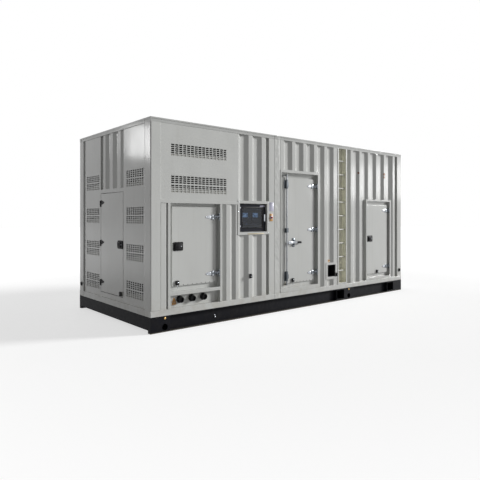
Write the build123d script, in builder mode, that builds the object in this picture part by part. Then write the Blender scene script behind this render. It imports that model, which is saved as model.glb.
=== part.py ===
from build123d import *
import math
import os

# A diesel generator in a soundproof container housing, 20 ft long and high.
# X runs along the length, Y across and Z up, in millimetres, from the middle of the base.

# Overall size of the housing
body_length = 6058
body_width = 2438
body_height = 2896

# Base frame
base_height = 220
beam_width = 72
beam_web = 12
beam_flange = 14
end_beam_lift = 40
cross_member_width = 90
cross_member_height = 140
cross_member_count = 7
floor_thickness = 6
pocket_from_end = 413
pocket_spacing = 1647
pocket_width = 214
pocket_top_margin = 24
pocket_bottom_margin = 30
pocket_wall = 8
pad_length = 300
member_end_gap = 290
member_pocket_gap = 330
lift_hole_from_end = 219
lift_hole_from_pocket = 247
lift_hole_radius = 45
lift_hole_height = 68

# Rails and posts
bottom_rail_height = 85
bottom_rail_ledge = 12
top_rail_height = 61
top_rail_lip = 21
top_rail_width = 64
lip_reach = 4
post_along = 150
post_across = 165
post_round = 14

# Walls
wall_thickness = 100
skin_set = 6
corrugation_depth = 36
corrugation_flat = 72
corrugation_slope = 68
corrugation_pitch = 278
first_crest = 48
narrow_crest = (84, 156)
control_crest = 260
man_door_crest = 43
inlet_crest = 166
inlet_flats = (28, 94)
ladder_crest = 156
right_door_crest = 101
last_crest = (76, 148)
end_wall_set = 16

# Roof
roof_thickness = 22
roof_wave_depth = 20
roof_wave_pitch = 278
roof_wave_flat = 121
roof_wave_slope = 18
exhaust_size = 300
exhaust_wall = 8
exhaust_spacing = 620
exhaust_from_end = 2150
exhaust_cap = 6

# Doors
pan_thickness = 22
seal_gap = 5
flange_overlap = 25
plug_clearance = 14
frame_back = 40
leaf_chamfer = 3
gland_side_rim = 39
gland_field_rim = 22

# Hinges of the recessed doors
barrel_radius = 8
barrel_height = 96
barrel_inset = 10
knuckle_gap = 1.5
strap_height = 76
strap_tip_height = 40
strap_length = 215
strap_thickness = 4
strap_shoulder = 6
strap_taper = 18
strap_point = 26
crank_offset = 3
knuckle_sides = 12
hinge_plate = 1.5
hinge_plate_width = 34

# Lock bar of the man door
bar_from_leaf = 88
bar_radius = 12
bar_play = 0.5
bar_overhang = (25, 48)
bar_guide_reach = 24
cam_height = 24
cam_width = 22
cam_reach = 38
handle_height = 1124
handle_length = 350
handle_hub = 50
handle_width = 32
handle_round = 10
handle_thickness = 8
guide_heights = (560, 1335, 2105)
guide_height = 76
guide_foot = 34
guide_width = 44
guide_plate = 5
guide_wall = 6

# Ventilation grilles
slot_height = 16
slot_pitch = 28
grille_sheet = 4
grille_bar = 24
group_rows = 6
grille_margin = 14
vane_thickness = 4
vane_pitch = 80
vane_tilt = 38
vane_depth = 60
vane_set = 14
end_vane_set = 8

# Locks, door stays and catches
lock_size = (152, 116)
lock_plate = 10
lock_reach = 26
lock_taper = 12
lock_rim = (14, 18)
stay_size = (50, 60)
stay_reach = 22
catch_width = 40
catch_height = 68
catch_plate = 5
catch_reach = 24
catch_hook_width = 16
catch_hook_gap = 8
left_catch_height = 635
man_catch_inset = 22
man_catch_height = 497
right_catch_inset = 78
right_catch_height = 430
end_catch_inset = 83
end_catch_height = 423

# Clearance between knuckles of the small hinges
clearance = 0.3

half_length = body_length / 2
half_width = body_width / 2
rail_top = base_height + bottom_rail_height
wall_top = body_height - top_rail_height
pocket_centres = (body_length - pocket_from_end - pocket_spacing, body_length - pocket_from_end)
lift_hole_centres = (lift_hole_from_end, pocket_centres[0] + lift_hole_from_pocket)
beam_gap = (beam_width, body_width - beam_width)
rail_gap = (wall_thickness, body_width - wall_thickness)
pocket_bottom = pocket_bottom_margin
pocket_top = base_height - pocket_top_margin

# Sides of the housing: where each one starts and which way it runs
corners = {
    "front": (Vector(-half_length, -half_width, 0), Vector(1, 0, 0)),
    "rear": (Vector(half_length, half_width, 0), Vector(-1, 0, 0)),
    "left": (Vector(-half_length, half_width, 0), Vector(0, -1, 0)),
    "right": (Vector(half_length, -half_width, 0), Vector(0, 1, 0)),
}


def inward(side):
    """Direction from a side's face into the housing."""
    along = corners[side][1]
    return Vector(0, 0, 1).cross(along)


def face(side, depth=0.0):
    """Upright plane of a side, sunk by depth: x runs along the side, y is height."""
    start, along = corners[side]
    into = inward(side)
    return Plane(origin=start + into * depth, x_dir=along, z_dir=into * -1)


def plan(side, height=0.0):
    """Level plane of a side: x runs along the side, y into the housing."""
    start, along = corners[side]
    return Plane(origin=start + Vector(0, 0, height), x_dir=along, z_dir=(0, 0, 1))


def rectangle(span, mode=Mode.ADD):
    """Rectangle in a side's sketch, given as (along from, along to, up from, up to)."""
    with Locations(((span[0] + span[1]) / 2, (span[2] + span[3]) / 2)):
        Rectangle(span[1] - span[0], span[3] - span[2], mode=mode)


def plate(side, span, depth, holes=(), mode=Mode.ADD):
    """Plate on a side, from one depth to another, with rectangular holes."""
    with BuildSketch(face(side, depth[0])) as profile:
        rectangle(span)
        for hole in holes:
            rectangle(hole, Mode.SUBTRACT)
    extrude(profile.sketch, amount=depth[0] - depth[1], mode=mode)


def grown(span, margin):
    """Rectangle span grown by a margin on every side."""
    return (span[0] - margin, span[1] + margin, span[2] - margin, span[3] + margin)


def prism(side, points, up, mode=Mode.ADD):
    """Upright prism on a side, from an outline of (along, into) points."""
    with BuildSketch(plan(side, up[0])) as profile:
        with BuildLine():
            Polyline(*points, close=True)
        make_face()
    extrude(profile.sketch, amount=up[1] - up[0], mode=mode)


def wave_line(span, crests, crest_depth, slope, depth):
    """Points of a folded sheet's outer line, from its crests given as (start, end)."""
    def depth_at(place):
        sunk = [max(a - place, place - b, 0) / slope for a, b in crests]
        return crest_depth + depth * min(1, *sunk, 1)

    stops = {span[0], span[1]}
    for index, (a, b) in enumerate(crests):
        stops.update((a - slope, a, b, b + slope))
        if index + 1 < len(crests) and crests[index + 1][0] - b < 2 * slope:
            stops.difference_update((b + slope,))
            stops.add((b + crests[index + 1][0]) / 2)
    for index, (a, b) in enumerate(crests):
        if index and a - crests[index - 1][1] < 2 * slope:
            stops.discard(a - slope)
    inside = sorted(s for s in stops if span[0] + 1 < s < span[1] - 1)
    places = [span[0]] + inside + [span[1]]
    return [(place, depth_at(place)) for place in places]


def even_crests(span, first_centre, pitch=corrugation_pitch, flat=corrugation_flat):
    """Crests of an even wave that reach into a span."""
    reach = flat / 2 + corrugation_slope
    steps = range(math.floor((span[0] - first_centre) / pitch) - 1,
                  math.ceil((span[1] - first_centre) / pitch) + 2)
    centres = [first_centre + step * pitch for step in steps]
    return [(c - flat / 2, c + flat / 2) for c in centres if span[0] - reach < c < span[1] + reach]


def folded_panel(side, along, up, crests):
    """Insulated wall panel: folded outer sheet, flat lining inside."""
    line = wave_line(along, crests, skin_set, corrugation_slope, corrugation_depth)
    points = line + [(along[1], wall_thickness), (along[0], wall_thickness)]
    prism(side, points, up)


# Frames of the front from left to right, with their widths, and the bays between them
# from post to post, which share what length is left
frame_widths = {
    "left_door": 932,
    "control": 661,
    "man_door": 989,
    "inlet": 310,
    "ladder": 275,
    "right_door": 869,
}
bay_shares = (118, 303, 257, 174, 23, 611, 236)
bay_length = body_length - 2 * post_along - sum(frame_widths.values())
starts = {}
place = post_along
for share, (frame, width) in zip(bay_shares, frame_widths.items()):
    place += bay_length * share / sum(bay_shares)
    starts[frame] = place
    place += width


def inset(span, edges):
    """Rectangle span drawn in by its (left, right, bottom, top) edges."""
    return (span[0] + edges[0], span[1] - edges[1], span[2] + edges[2], span[3] - edges[3])


def frame_span(frame, low, high):
    """Outer rectangle of a frame of the front."""
    return (starts[frame], starts[frame] + frame_widths[frame], low, high)


def door_places(outer, rim, gap, depth, hinges, lock, stay):
    """Places of a recessed door: frame, recess, leaf, hinges, lock and striker."""
    recess = inset(outer, rim)
    leaf = inset(recess, gap)
    return {
        "outer": outer, "recess": recess, "leaf": leaf, "depth": depth, "hinges": hinges,
        "lock": (leaf[0] + lock[0], leaf[0] + lock[0] + lock_size[0], lock[1], lock[1] + lock_size[1]),
        "stay": (leaf[0] + stay[0], leaf[0] + stay[0] + stay_size[0],
                 leaf[2] + stay[1], leaf[2] + stay[1] + stay_size[1]),
    }


# Places of the front, measured along it from the left corner and up from the ground.
# Rims and gaps run left, right, bottom, top
left_door = door_places(
    frame_span("left_door", 500, 1750), rim=(39, 35, 28, 0), gap=(55, 44, 66, 44),
    depth=80, hinges=(1557, 727), lock=(24, 1090), stay=(58, 16))
man_door = door_places(
    frame_span("man_door", rail_top, 2347), rim=(23, 52, 65, 45), gap=(61, 62, 67, 78),
    depth=72, hinges=(2098, 1335, 580), lock=(24, 1090), stay=(225, 18))
right_door = door_places(
    frame_span("right_door", rail_top, 1902), rim=(23, 45, 40, 30), gap=(48, 46, 65, 72),
    depth=60, hinges=(1690, 540), lock=(18, 1068), stay=(316, 15))
control_outer = frame_span("control", 1282, 1811)
control_recess = inset(control_outer, (42, 45, 43, 43))
ladder_outer = frame_span("ladder", rail_top, wall_top)[:2]
ladder_opening = (ladder_outer[0] + 30, ladder_outer[1] - 31)
inlet_outer = frame_span("inlet", 421, 724)
inlet_opening = inset(inlet_outer, (44, 44, 47, 40))

# Intake panel: its windows keep their heights, and the strips around them share the rest
intake_span = (post_along, control_outer[0])
intake_floor = left_door["outer"][3]
intake_lintel = 43
intake_side_margins = (164, 214)
intake_window_heights = (252, 175)
intake_strips = (137, 257, 264)
intake_slot_counts = (8, 6)
strip_unit = (wall_top - intake_floor - sum(intake_window_heights)) / sum(intake_strips)
lower_sill = intake_floor + intake_strips[0] * strip_unit
upper_sill = lower_sill + intake_window_heights[0] + intake_strips[1] * strip_unit
intake_windows = [(intake_span[0] + intake_side_margins[0], intake_span[1] - intake_side_margins[1],
                   sill, sill + height)
                  for sill, height in zip((lower_sill, upper_sill), intake_window_heights)]
gland_span = left_door["outer"][:2]
gland_first = 226
gland_spacings = (0, 201, 400)
gland_centres = [gland_span[0] + gland_first + spacing for spacing in gland_spacings]
gland_height = 406
gland_radius = 52
gland_bore = 34
gland_sides = 12
gland_plate_bore = 38
gland_front = 8
gland_recess = 66
control_depth = 64
control_rim = 30
control_leaf_thickness = 24
control_hinge_gap = 14
control_gap = 8
control_stile = 62
control_cross_rail = 52
control_hinge_inset = 70
control_hinge_reach = 30
control_hinge_plate = 2
control_latch_inset = 16
control_latch_width = 24
control_latch_rise = (1490, 1600)
control_latch_reach = 14
pane_set = 6
pane_thickness = 6
console_plate = 8
console_module = (150, 140)
console_module_gap = 70
console_module_inset = 95
stop_offset = 46
stop_height = 1551
console_module_rise = 175
console_module_depth = 12
control_knuckle = 24
control_barrel = 4
control_barrel_gap = 2
ladder_depth = 90
ladder_foot = 330
rung_first = 557
rung_pitch = 256
rung_count = math.floor((wall_top - rung_first) / rung_pitch) + 1
rung_radius = 11
rung_sides = 8
rung_depth = 35
inlet_depth = 150
inlet_wall = 8

# Places of the ends, measured from the far corner of the left end
end_middle = body_width / 2
end_centre_width = 800
end_centre_span = (end_middle - end_centre_width / 2, end_middle + end_centre_width / 2)
end_centre_floor = 1990
end_door_margin = 8
end_lock_inset = 14
end_stay_inset = 50
end_door_left = end_centre_span[0] + end_door_margin
end_door_right = end_centre_span[1] - end_door_margin
end_door = {
    "opening": (end_door_left, end_door_right, 378, 1932),
    "hinges": (1770, 1146, 524),
    "lock": (end_door_right - end_lock_inset - lock_size[0], end_door_right - end_lock_inset, 1092, 1206),
    "stay": (end_door_right - end_stay_inset - stay_size[0], end_door_right - end_stay_inset, 395, 455),
}
end_strap = (14, 118, 80, 16)
end_hinge_leaf = 34
end_panel_spans = ((post_across, end_centre_span[0]), (end_centre_span[1], body_width - post_across))
end_grille_margins = ((93, 42), (82, 51))
end_grille_columns = [(span[0] + near, span[1] - far)
                      for span, (near, far) in zip(end_panel_spans, end_grille_margins)]
end_grille_rows = (2111, 1582, 1055, 528)
end_grille_height = 250
end_grille_slot_count = 8
end_crest_spacing = 262
end_crest_centres = [end_middle + step * end_crest_spacing for step in (-1, 0, 1)]
end_crest_width = 80
end_leaf_thickness = 60
end_frame_rim = 40
end_edge_gap = 8
end_free_gap = 10


def flanged_door_frame(side, door):
    """Box-section door frame with a recess and, in its back flange, the doorway."""
    plate(side, door["outer"], (0, door["depth"]), [door["recess"]])
    doorway = grown(door["leaf"], -flange_overlap)
    plate(side, door["outer"], (door["depth"], door["depth"] + frame_back), [doorway])


def recessed_leaf(side, door):
    """Insulated door leaf: a pan with folded edges over the flange and a plug in the doorway."""
    back = door["depth"] - seal_gap
    plate(side, door["leaf"], (back - pan_thickness, back))
    outer = faces().sort_by(Axis((0, 0, 0), tuple(inward(side))))[0]
    chamfer(outer.edges(), leaf_chamfer)
    plug = grown(door["leaf"], -flange_overlap - plug_clearance)
    plate(side, plug, (back, door["depth"] + frame_back))


def leaf_face(door):
    """Depth of a recessed leaf's outer face."""
    return door["depth"] - seal_gap - pan_thickness


def pivot(door):
    """Place along the side of a recessed door's pivot line."""
    return door["recess"][1] - barrel_inset


def barrel(side, place, depth, low, high, radius, sides=0):
    """Upright round bar on a side, with flat sides where many repeat."""
    with BuildSketch(plan(side, low)) as ring:
        with Locations((place, depth)):
            if sides:
                RegularPolygon(radius, sides)
            else:
                Circle(radius)
    extrude(ring.sketch, amount=high - low)


def strap_outline(places, knuckle):
    """Closed outline of a strap from (along, half height) places, symmetric about its middle."""
    upper = [(place, knuckle + half) for place, half in places]
    lower = [(place, knuckle - half) for place, half in reversed(places)]
    return upper + lower


def cranked_strap(side, door, height, fixed=False):
    """Knuckle, crank and tapered strap of a lift-off hinge; on a fixed door one whole knuckle."""
    place, outer = pivot(door), leaf_face(door)
    half = barrel_height / 2
    low = height - half if fixed else height + knuckle_gap
    sides = knuckle_sides if fixed else 0
    barrel(side, place, barrel_inset, low, height + half, barrel_radius, sides)
    crank = (place - crank_offset - strap_thickness, place - crank_offset)
    plate(side, (*crank, low, height + half), (barrel_inset, outer))
    if fixed:
        plate(side, (place, door["recess"][1], low, height + half),
              (barrel_inset, barrel_inset + strap_thickness))
    tip = place - strap_length
    shoulder = door["leaf"][1] - strap_shoulder
    places = ((crank[1], strap_height / 4), (shoulder, strap_height / 4),
              (shoulder - strap_taper, strap_height / 2), (tip + strap_point, strap_tip_height / 2),
              (tip, strap_tip_height / 4))
    with BuildSketch(face(side, outer - strap_thickness)) as outline:
        with BuildLine():
            Polyline(*strap_outline(places, height), close=True)
        make_face()
    extrude(outline.sketch, amount=-strap_thickness)


def fixed_hinge(side, door, height):
    """Fixed half of a lift-off hinge: lower knuckle on a plate at the recess wall."""
    place = pivot(door)
    wall = door["recess"][1]
    half = barrel_height / 2
    barrel(side, place, barrel_inset, height - half, height - knuckle_gap, barrel_radius, knuckle_sides)
    plate(side, (place, wall, height - half, height - knuckle_gap),
          (barrel_inset, barrel_inset + strap_thickness))
    plate(side, (wall - hinge_plate, wall, height - half, height + half),
          (barrel_inset, barrel_inset + hinge_plate_width))


def rail_across(side, span, outline):
    """Rail with a constant section along a side."""
    start, along = corners[side]
    section = Plane(origin=start + along * span[0], x_dir=inward(side), z_dir=along)
    with BuildSketch(section) as profile:
        with BuildLine():
            Polyline(*outline, close=True)
        make_face()
    extrude(profile.sketch, amount=span[1] - span[0])


def channel(back, front, low, high):
    """Outline of a channel, from its web at the back to its flange edges at the front."""
    web = back + math.copysign(beam_web, front - back)
    return ((back, low), (front, low), (front, low + beam_flange), (web, low + beam_flange),
            (web, high - beam_flange), (front, high - beam_flange), (front, high), (back, high))


# Base frame: side beams welded from flanges, webs and lifting pads, with fork pockets between them
end_beam_outline = channel(0, beam_width, end_beam_lift, base_height)
web_rise = (beam_flange, base_height - beam_flange)
pocket_spans = [(centre - pocket_width / 2 - pocket_wall, centre + pocket_width / 2 + pocket_wall)
                for centre in pocket_centres]
middle_pad_end = lift_hole_centres[1] + pad_length / 2
pad_spans = ((0, pad_length), (pocket_spans[0][1], middle_pad_end), (pocket_spans[1][1], body_length))
web_spans = ((pad_length, pocket_spans[0][0]), (middle_pad_end, pocket_spans[1][0]))


def seen_from(side, span):
    """A span given along the front, as the same stretch seen from another long side."""
    return span if side == "front" else (body_length - span[1], body_length - span[0])


with BuildPart() as base_flanges:
    for side in ("front", "rear"):
        for low in (0, base_height - beam_flange):
            plate(side, (0, body_length, low, low + beam_flange), (0, beam_width))
base_flanges.part.label = "base_flanges"

with BuildPart() as base_webs:
    for side in ("front", "rear"):
        for span in web_spans:
            plate(side, (*seen_from(side, span), *web_rise), (beam_width - beam_web, beam_width))
base_webs.part.label = "base_webs"

with BuildPart() as lifting_pads:
    for side in ("front", "rear"):
        with BuildSketch(face(side)) as pads:
            for span in pad_spans:
                rectangle((*seen_from(side, span), *web_rise))
            with Locations(*[(seen_from(side, (centre, centre))[0], lift_hole_height)
                             for centre in lift_hole_centres]):
                Circle(lift_hole_radius, mode=Mode.SUBTRACT)
        extrude(pads.sketch, amount=-beam_width)
lifting_pads.part.label = "lifting_pads"

with BuildPart() as end_base_beams:
    for side in ("left", "right"):
        rail_across(side, beam_gap, end_beam_outline)
end_base_beams.part.label = "end_base_beams"

# Fork pockets: plates above and below each fork, and walls between them, right through the base
with BuildPart() as fork_pocket_plates:
    for near, far in pocket_spans:
        for low, high in ((web_rise[0], pocket_bottom), (pocket_top, web_rise[1])):
            plate("front", (near, far, low, high), (0, body_width))
fork_pocket_plates.part.label = "fork_pocket_plates"

with BuildPart() as fork_pocket_walls:
    for near, far in pocket_spans:
        for low in (near, far - pocket_wall):
            plate("front", (low, low + pocket_wall, pocket_bottom, pocket_top), (0, body_width))
fork_pocket_walls.part.label = "fork_pocket_walls"

# Cross members: channels across the base that carry the floor
member_run = pocket_centres[0] - pocket_width - member_end_gap - cross_member_width
member_step = member_run / (cross_member_count - 3)
member_places = [member_end_gap + step * member_step for step in range(cross_member_count - 2)]
pocket_middle = (pocket_centres[0] + pocket_centres[1]) / 2
member_places += [pocket_middle - member_pocket_gap, pocket_middle + member_pocket_gap]
with BuildPart() as base_cross_members:
    with BuildSketch(face("front", beam_gap[0])):
        for place in member_places:
            rectangle((place, place + cross_member_width, base_height - cross_member_height, base_height))
            rectangle((place + beam_web, place + cross_member_width,
                       base_height - cross_member_height + beam_flange, base_height - beam_flange),
                      Mode.SUBTRACT)
    extrude(amount=beam_gap[0] - beam_gap[1])
base_cross_members.part.label = "base_cross_members"

with BuildPart() as floor_plate:
    with BuildSketch(Plane.XY.offset(base_height)):
        Rectangle(body_length - 2 * wall_thickness, body_width - 2 * wall_thickness)
    extrude(amount=floor_thickness)
floor_plate.part.label = "floor_plate"


# Rails along the bottom, with the ledge that catches the light above them
with BuildPart() as bottom_side_rails:
    for side in ("front", "rear"):
        rail_across(side, (0, body_length), ((0, base_height), (wall_thickness, base_height),
                                             (wall_thickness, rail_top), (skin_set, rail_top),
                                             (skin_set, rail_top - bottom_rail_ledge),
                                             (0, rail_top - bottom_rail_ledge)))
bottom_side_rails.part.label = "bottom_side_rails"

with BuildPart() as bottom_end_rails:
    for side in ("left", "right"):
        plate(side, (*rail_gap, base_height, rail_top), (0, wall_thickness))
bottom_end_rails.part.label = "bottom_end_rails"

# Corner posts: folded sections with a round outer corner
with BuildPart() as corner_posts:
    with BuildSketch(Plane.XY.offset(rail_top)):
        with Locations(*[(sx * (half_length - post_along / 2), sy * (half_width - post_across / 2))
                         for sx in (-1, 1) for sy in (-1, 1)]):
            Rectangle(post_along, post_across)
    extrude(amount=wall_top - rail_top)
    outer_edges = [e for e in corner_posts.edges().filter_by(Axis.Z)
                   if abs(e.center().X) > half_length - 1 and abs(e.center().Y) > half_width - 1]
    fillet(outer_edges, radius=post_round)
corner_posts.part.label = "corner_posts"


def top_rail_outline(width):
    """Section of a top rail: the lip stands proud of the web below it."""
    return ((lip_reach, wall_top), (width, wall_top), (width, body_height), (0, body_height),
            (0, body_height - top_rail_lip), (lip_reach, body_height - top_rail_lip))


with BuildPart() as top_side_rails:
    for side in ("front", "rear"):
        rail_across(side, (0, body_length), top_rail_outline(top_rail_width))
top_side_rails.part.label = "top_side_rails"

with BuildPart() as top_end_rails:
    for side in ("left", "right"):
        rail_across(side, (top_rail_width, body_width - top_rail_width), top_rail_outline(top_rail_width))
top_end_rails.part.label = "top_end_rails"

# Roof: a folded sheet with waves across the housing, set between the top rails
roof_length = body_length - 2 * top_rail_width
roof_width = body_width - 2 * top_rail_width
roof_margin = 3 * roof_wave_flat / 2
wave_count = math.floor((roof_length - 2 * roof_margin) / roof_wave_pitch)
roof_crests = [(top_rail_width + roof_margin + step * roof_wave_pitch,
                top_rail_width + roof_margin + step * roof_wave_pitch + roof_wave_flat)
               for step in range(wave_count)]
exhaust_places = [(exhaust_from_end - half_length, sy * exhaust_spacing / 2) for sy in (-1, 1)]
with BuildPart() as roof_panel:
    roof_top = wall_top + roof_thickness + roof_wave_depth
    line = [(place, roof_top - depth) for place, depth in
            wave_line((top_rail_width, top_rail_width + roof_length), roof_crests, 0,
                      roof_wave_slope, roof_wave_depth)]
    outline = line + [(top_rail_width + roof_length, wall_top), (top_rail_width, wall_top)]
    with BuildSketch(face("front", top_rail_width)):
        with BuildLine():
            Polyline(*outline, close=True)
        make_face()
    extrude(amount=-roof_width)
    with BuildSketch(Plane.XY.offset(wall_top)):
        with Locations(*exhaust_places):
            Rectangle(exhaust_size, exhaust_size)
    extrude(amount=roof_thickness + roof_wave_depth, mode=Mode.SUBTRACT)
roof_panel.part.label = "roof_panel"

# Exhaust outlets: square collars through the roof, closed by flat covers
with BuildPart() as exhaust_outlets:
    with BuildSketch(Plane.XY.offset(wall_top)):
        with Locations(*exhaust_places):
            Rectangle(exhaust_size, exhaust_size)
            Rectangle(exhaust_size - 2 * exhaust_wall, exhaust_size - 2 * exhaust_wall, mode=Mode.SUBTRACT)
    extrude(amount=top_rail_height - exhaust_cap)
    with BuildSketch(Plane.XY.offset(body_height - exhaust_cap)):
        with Locations(*exhaust_places):
            Rectangle(exhaust_size + 2 * exhaust_cap, exhaust_size + 2 * exhaust_cap)
    extrude(amount=exhaust_cap)
exhaust_outlets.part.label = "exhaust_outlets"


# Side walls: folded panels between the frames, with their crests where the folds stand
def wave_panel(side, span, up, first):
    """Folded panel with an even wave, its first crest's middle set off from the panel's start."""
    folded_panel(side, span, up, even_crests(span, span[0] + first))


def long_side_bays(side):
    """Full-height wall bays between the openings of a long side."""
    wave_panel(side, (post_along, left_door["outer"][0]), (rail_top, intake_floor), first_crest)
    near, far = left_door["outer"][1], intake_span[1]
    folded_panel(side, (near, far), (rail_top, intake_floor),
                 [(near + narrow_crest[0], near + narrow_crest[1]),
                  (far - corrugation_flat / 2, far + corrugation_flat)])
    near, far = right_door["outer"][1], body_length - post_along
    folded_panel(side, (near, far), (rail_top, wall_top), [(near + last_crest[0], near + last_crest[1])])


with BuildPart() as front_bay_panels:
    long_side_bays("front")
    for near, far in ((control_outer[1], man_door["outer"][0]), (inlet_outer[1], ladder_outer[0])):
        folded_panel("front", (near, far), (rail_top, wall_top), [(near, far)])
    wave_panel("front", (man_door["outer"][1], inlet_outer[0]), (rail_top, wall_top), inlet_crest)
    wave_panel("front", (ladder_outer[1], right_door["outer"][0]), (rail_top, wall_top), ladder_crest)
front_bay_panels.part.label = "front_bay_panels"

with BuildPart() as front_infill_panels:
    for up in ((rail_top, control_outer[2]), (control_outer[3], wall_top)):
        wave_panel("front", control_outer[:2], up, control_crest)
    wave_panel("front", man_door["outer"][:2], (man_door["outer"][3], wall_top), man_door_crest)
    for up in ((inlet_outer[3], wall_top), (rail_top, inlet_outer[2])):
        near, far = inlet_outer[:2]
        folded_panel("front", (near, far), up, [(near, near + inlet_flats[0]), (far - inlet_flats[1], far)])
    wave_panel("front", right_door["outer"][:2], (right_door["outer"][3], wall_top), right_door_crest)
front_infill_panels.part.label = "front_infill_panels"


def intake_panel(side):
    """Flat panel with two windows for the grilles, and the flush band under it."""
    plate(side, (*intake_span, intake_floor, wall_top), (skin_set, wall_thickness), intake_windows)
    plate(side, (*intake_span, intake_floor, intake_floor + intake_lintel), (0, skin_set))


with BuildPart() as intake_panels:
    for side in ("front", "rear"):
        intake_panel(side)
intake_panels.part.label = "intake_panels"


def slot_places(rows):
    """Heights of a grille's slots about its middle: one group, or two beside a bar."""
    if rows <= group_rows:
        return [(row - (rows - 1) / 2) * slot_pitch for row in range(rows)]
    near = (grille_bar + slot_height) / 2
    half = [near + row * slot_pitch for row in range(rows // 2)]
    return half + [-place for place in half]


def grille(side, window, rows, depth):
    """Sheet grille with rows of slots, set in its window flush with the panel."""
    middle = ((window[0] + window[1]) / 2, (window[2] + window[3]) / 2)
    with BuildSketch(face(side, depth)) as sheet:
        rectangle(window)
        with Locations(*[(middle[0], middle[1] + place) for place in slot_places(rows)]):
            Rectangle(window[1] - window[0] - 2 * grille_margin, slot_height, mode=Mode.SUBTRACT)
    extrude(sheet.sketch, amount=-grille_sheet)


def baffles(side, window, depth):
    """Slanted vanes behind a grille, from one side of its window to the other."""
    start, along = corners[side]
    run = vane_depth * math.cos(math.radians(vane_tilt))
    rise = vane_depth * math.sin(math.radians(vane_tilt))
    count = math.floor((window[3] - window[2] - rise - 2 * vane_thickness) / vane_pitch) + 1
    section = Plane(origin=start + along * window[0], x_dir=inward(side), z_dir=along)
    with BuildSketch(section) as vanes:
        with Locations((depth + run / 2, (window[2] + window[3]) / 2)):
            with GridLocations(vane_pitch, vane_pitch, 1, count):
                Rectangle(vane_depth, vane_thickness, rotation=vane_tilt)
    extrude(vanes.sketch, amount=window[1] - window[0])


with BuildPart() as intake_grilles:
    for side in ("front", "rear"):
        for window, rows in zip(intake_windows, intake_slot_counts):
            grille(side, window, rows, skin_set)
intake_grilles.part.label = "intake_grilles"

with BuildPart() as intake_baffles:
    for side in ("front", "rear"):
        for window in intake_windows:
            baffles(side, window, skin_set + grille_sheet + vane_set)
intake_baffles.part.label = "intake_baffles"

# Door frames of the front
with BuildPart() as left_door_frame:
    flanged_door_frame("front", left_door)
left_door_frame.part.label = "left_door_frame"

with BuildPart() as man_door_frame:
    flanged_door_frame("front", man_door)
man_door_frame.part.label = "man_door_frame"

with BuildPart() as right_door_frame:
    flanged_door_frame("front", right_door)
right_door_frame.part.label = "right_door_frame"

# Gland plate: a sunk field under the left door, with three cable outlets
with BuildPart() as gland_plate:
    field = (gland_span[0] + gland_side_rim, gland_span[1] - gland_side_rim, rail_top,
             left_door["outer"][2] - gland_field_rim)
    around = (*gland_span, rail_top, left_door["outer"][2])
    plate("front", around, (0, gland_recess), [field])
    plate("front", around, (gland_recess, wall_thickness))
    with BuildSketch(face("front")) as bores:
        with Locations(*[(centre, gland_height) for centre in gland_centres]):
            RegularPolygon(gland_plate_bore, gland_sides)
    extrude(bores.sketch, amount=-wall_thickness, mode=Mode.SUBTRACT)
gland_plate.part.label = "gland_plate"

with BuildPart() as cable_glands:
    with BuildSketch(face("front", gland_recess)) as collar:
        with Locations(*[(centre, gland_height) for centre in gland_centres]):
            RegularPolygon(gland_radius, gland_sides)
            Circle(gland_bore, mode=Mode.SUBTRACT)
    extrude(collar.sketch, amount=gland_recess - gland_front)
cable_glands.part.label = "cable_glands"

# Control cabinet: a framed recess with a black glazed door over the panel
with BuildPart() as control_frame:
    plate("front", control_outer, (0, control_depth), [control_recess])
    plate("front", control_outer, (control_depth, wall_thickness), [grown(control_recess, -control_rim)])
control_frame.part.label = "control_frame"

control_leaf = (control_recess[0] + control_hinge_gap, control_recess[1] - control_gap,
                control_recess[2] + control_gap, control_recess[3] - control_gap)
control_back = control_depth - seal_gap
control_face = control_back - control_leaf_thickness
window = (control_leaf[0] + control_stile, control_leaf[1] - control_stile,
          control_leaf[2] + control_cross_rail, control_leaf[3] - control_cross_rail)
with BuildPart() as control_door:
    plate("front", control_leaf, (control_face, control_back), [window])
control_door.part.label = "control_door"

with BuildPart() as control_window:
    plate("front", window, (control_face + pane_set, control_face + pane_set + pane_thickness))
control_window.part.label = "control_window"

control_pivot = (control_recess[0] + control_barrel + control_barrel_gap,
                 control_face - control_hinge_plate)
control_hinges = (control_leaf[3] - control_hinge_inset, control_leaf[2] + control_hinge_inset)
with BuildPart() as control_door_fittings:
    for height in control_hinges:
        low, high = height + clearance, height + control_knuckle
        barrel("front", control_pivot[0], control_pivot[1], low, high, control_barrel)
        plate("front", (control_pivot[0], control_leaf[0] + control_hinge_reach, low, high),
              (control_face - control_hinge_plate, control_face))
    far = control_leaf[1] - control_latch_inset
    latch = (far - control_latch_width, far, *control_latch_rise)
    plate("front", latch, (control_face - control_latch_reach, control_face))
control_door_fittings.part.label = "control_door_fittings"

with BuildPart() as control_console:
    plate("front", control_outer, (wall_thickness, wall_thickness + console_plate))
    for step in (0, 1):
        near = control_recess[0] + console_module_inset + step * (console_module[0] + console_module_gap)
        low = control_recess[2] + console_module_rise
        plate("front", (near, near + console_module[0], low, low + console_module[1]),
              (wall_thickness - console_module_depth, wall_thickness))
control_console.part.label = "control_console"

# Ladder: a channel sunk in the wall with rungs across it
with BuildPart() as ladder_recess:
    around = (*ladder_outer, rail_top, wall_top)
    plate("front", around, (0, ladder_depth), [(*ladder_opening, ladder_foot, wall_top)])
    plate("front", around, (ladder_depth, wall_thickness))
ladder_recess.part.label = "ladder_recess"

with BuildPart() as ladder_rungs:
    start, along = corners["front"]
    with BuildSketch(Plane(origin=start + along * ladder_opening[0], x_dir=inward("front"), z_dir=along)):
        with Locations(*[(rung_depth, rung_first + step * rung_pitch) for step in range(rung_count)]):
            RegularPolygon(rung_radius, rung_sides)
    extrude(amount=ladder_opening[1] - ladder_opening[0])
ladder_rungs.part.label = "ladder_rungs"

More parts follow.
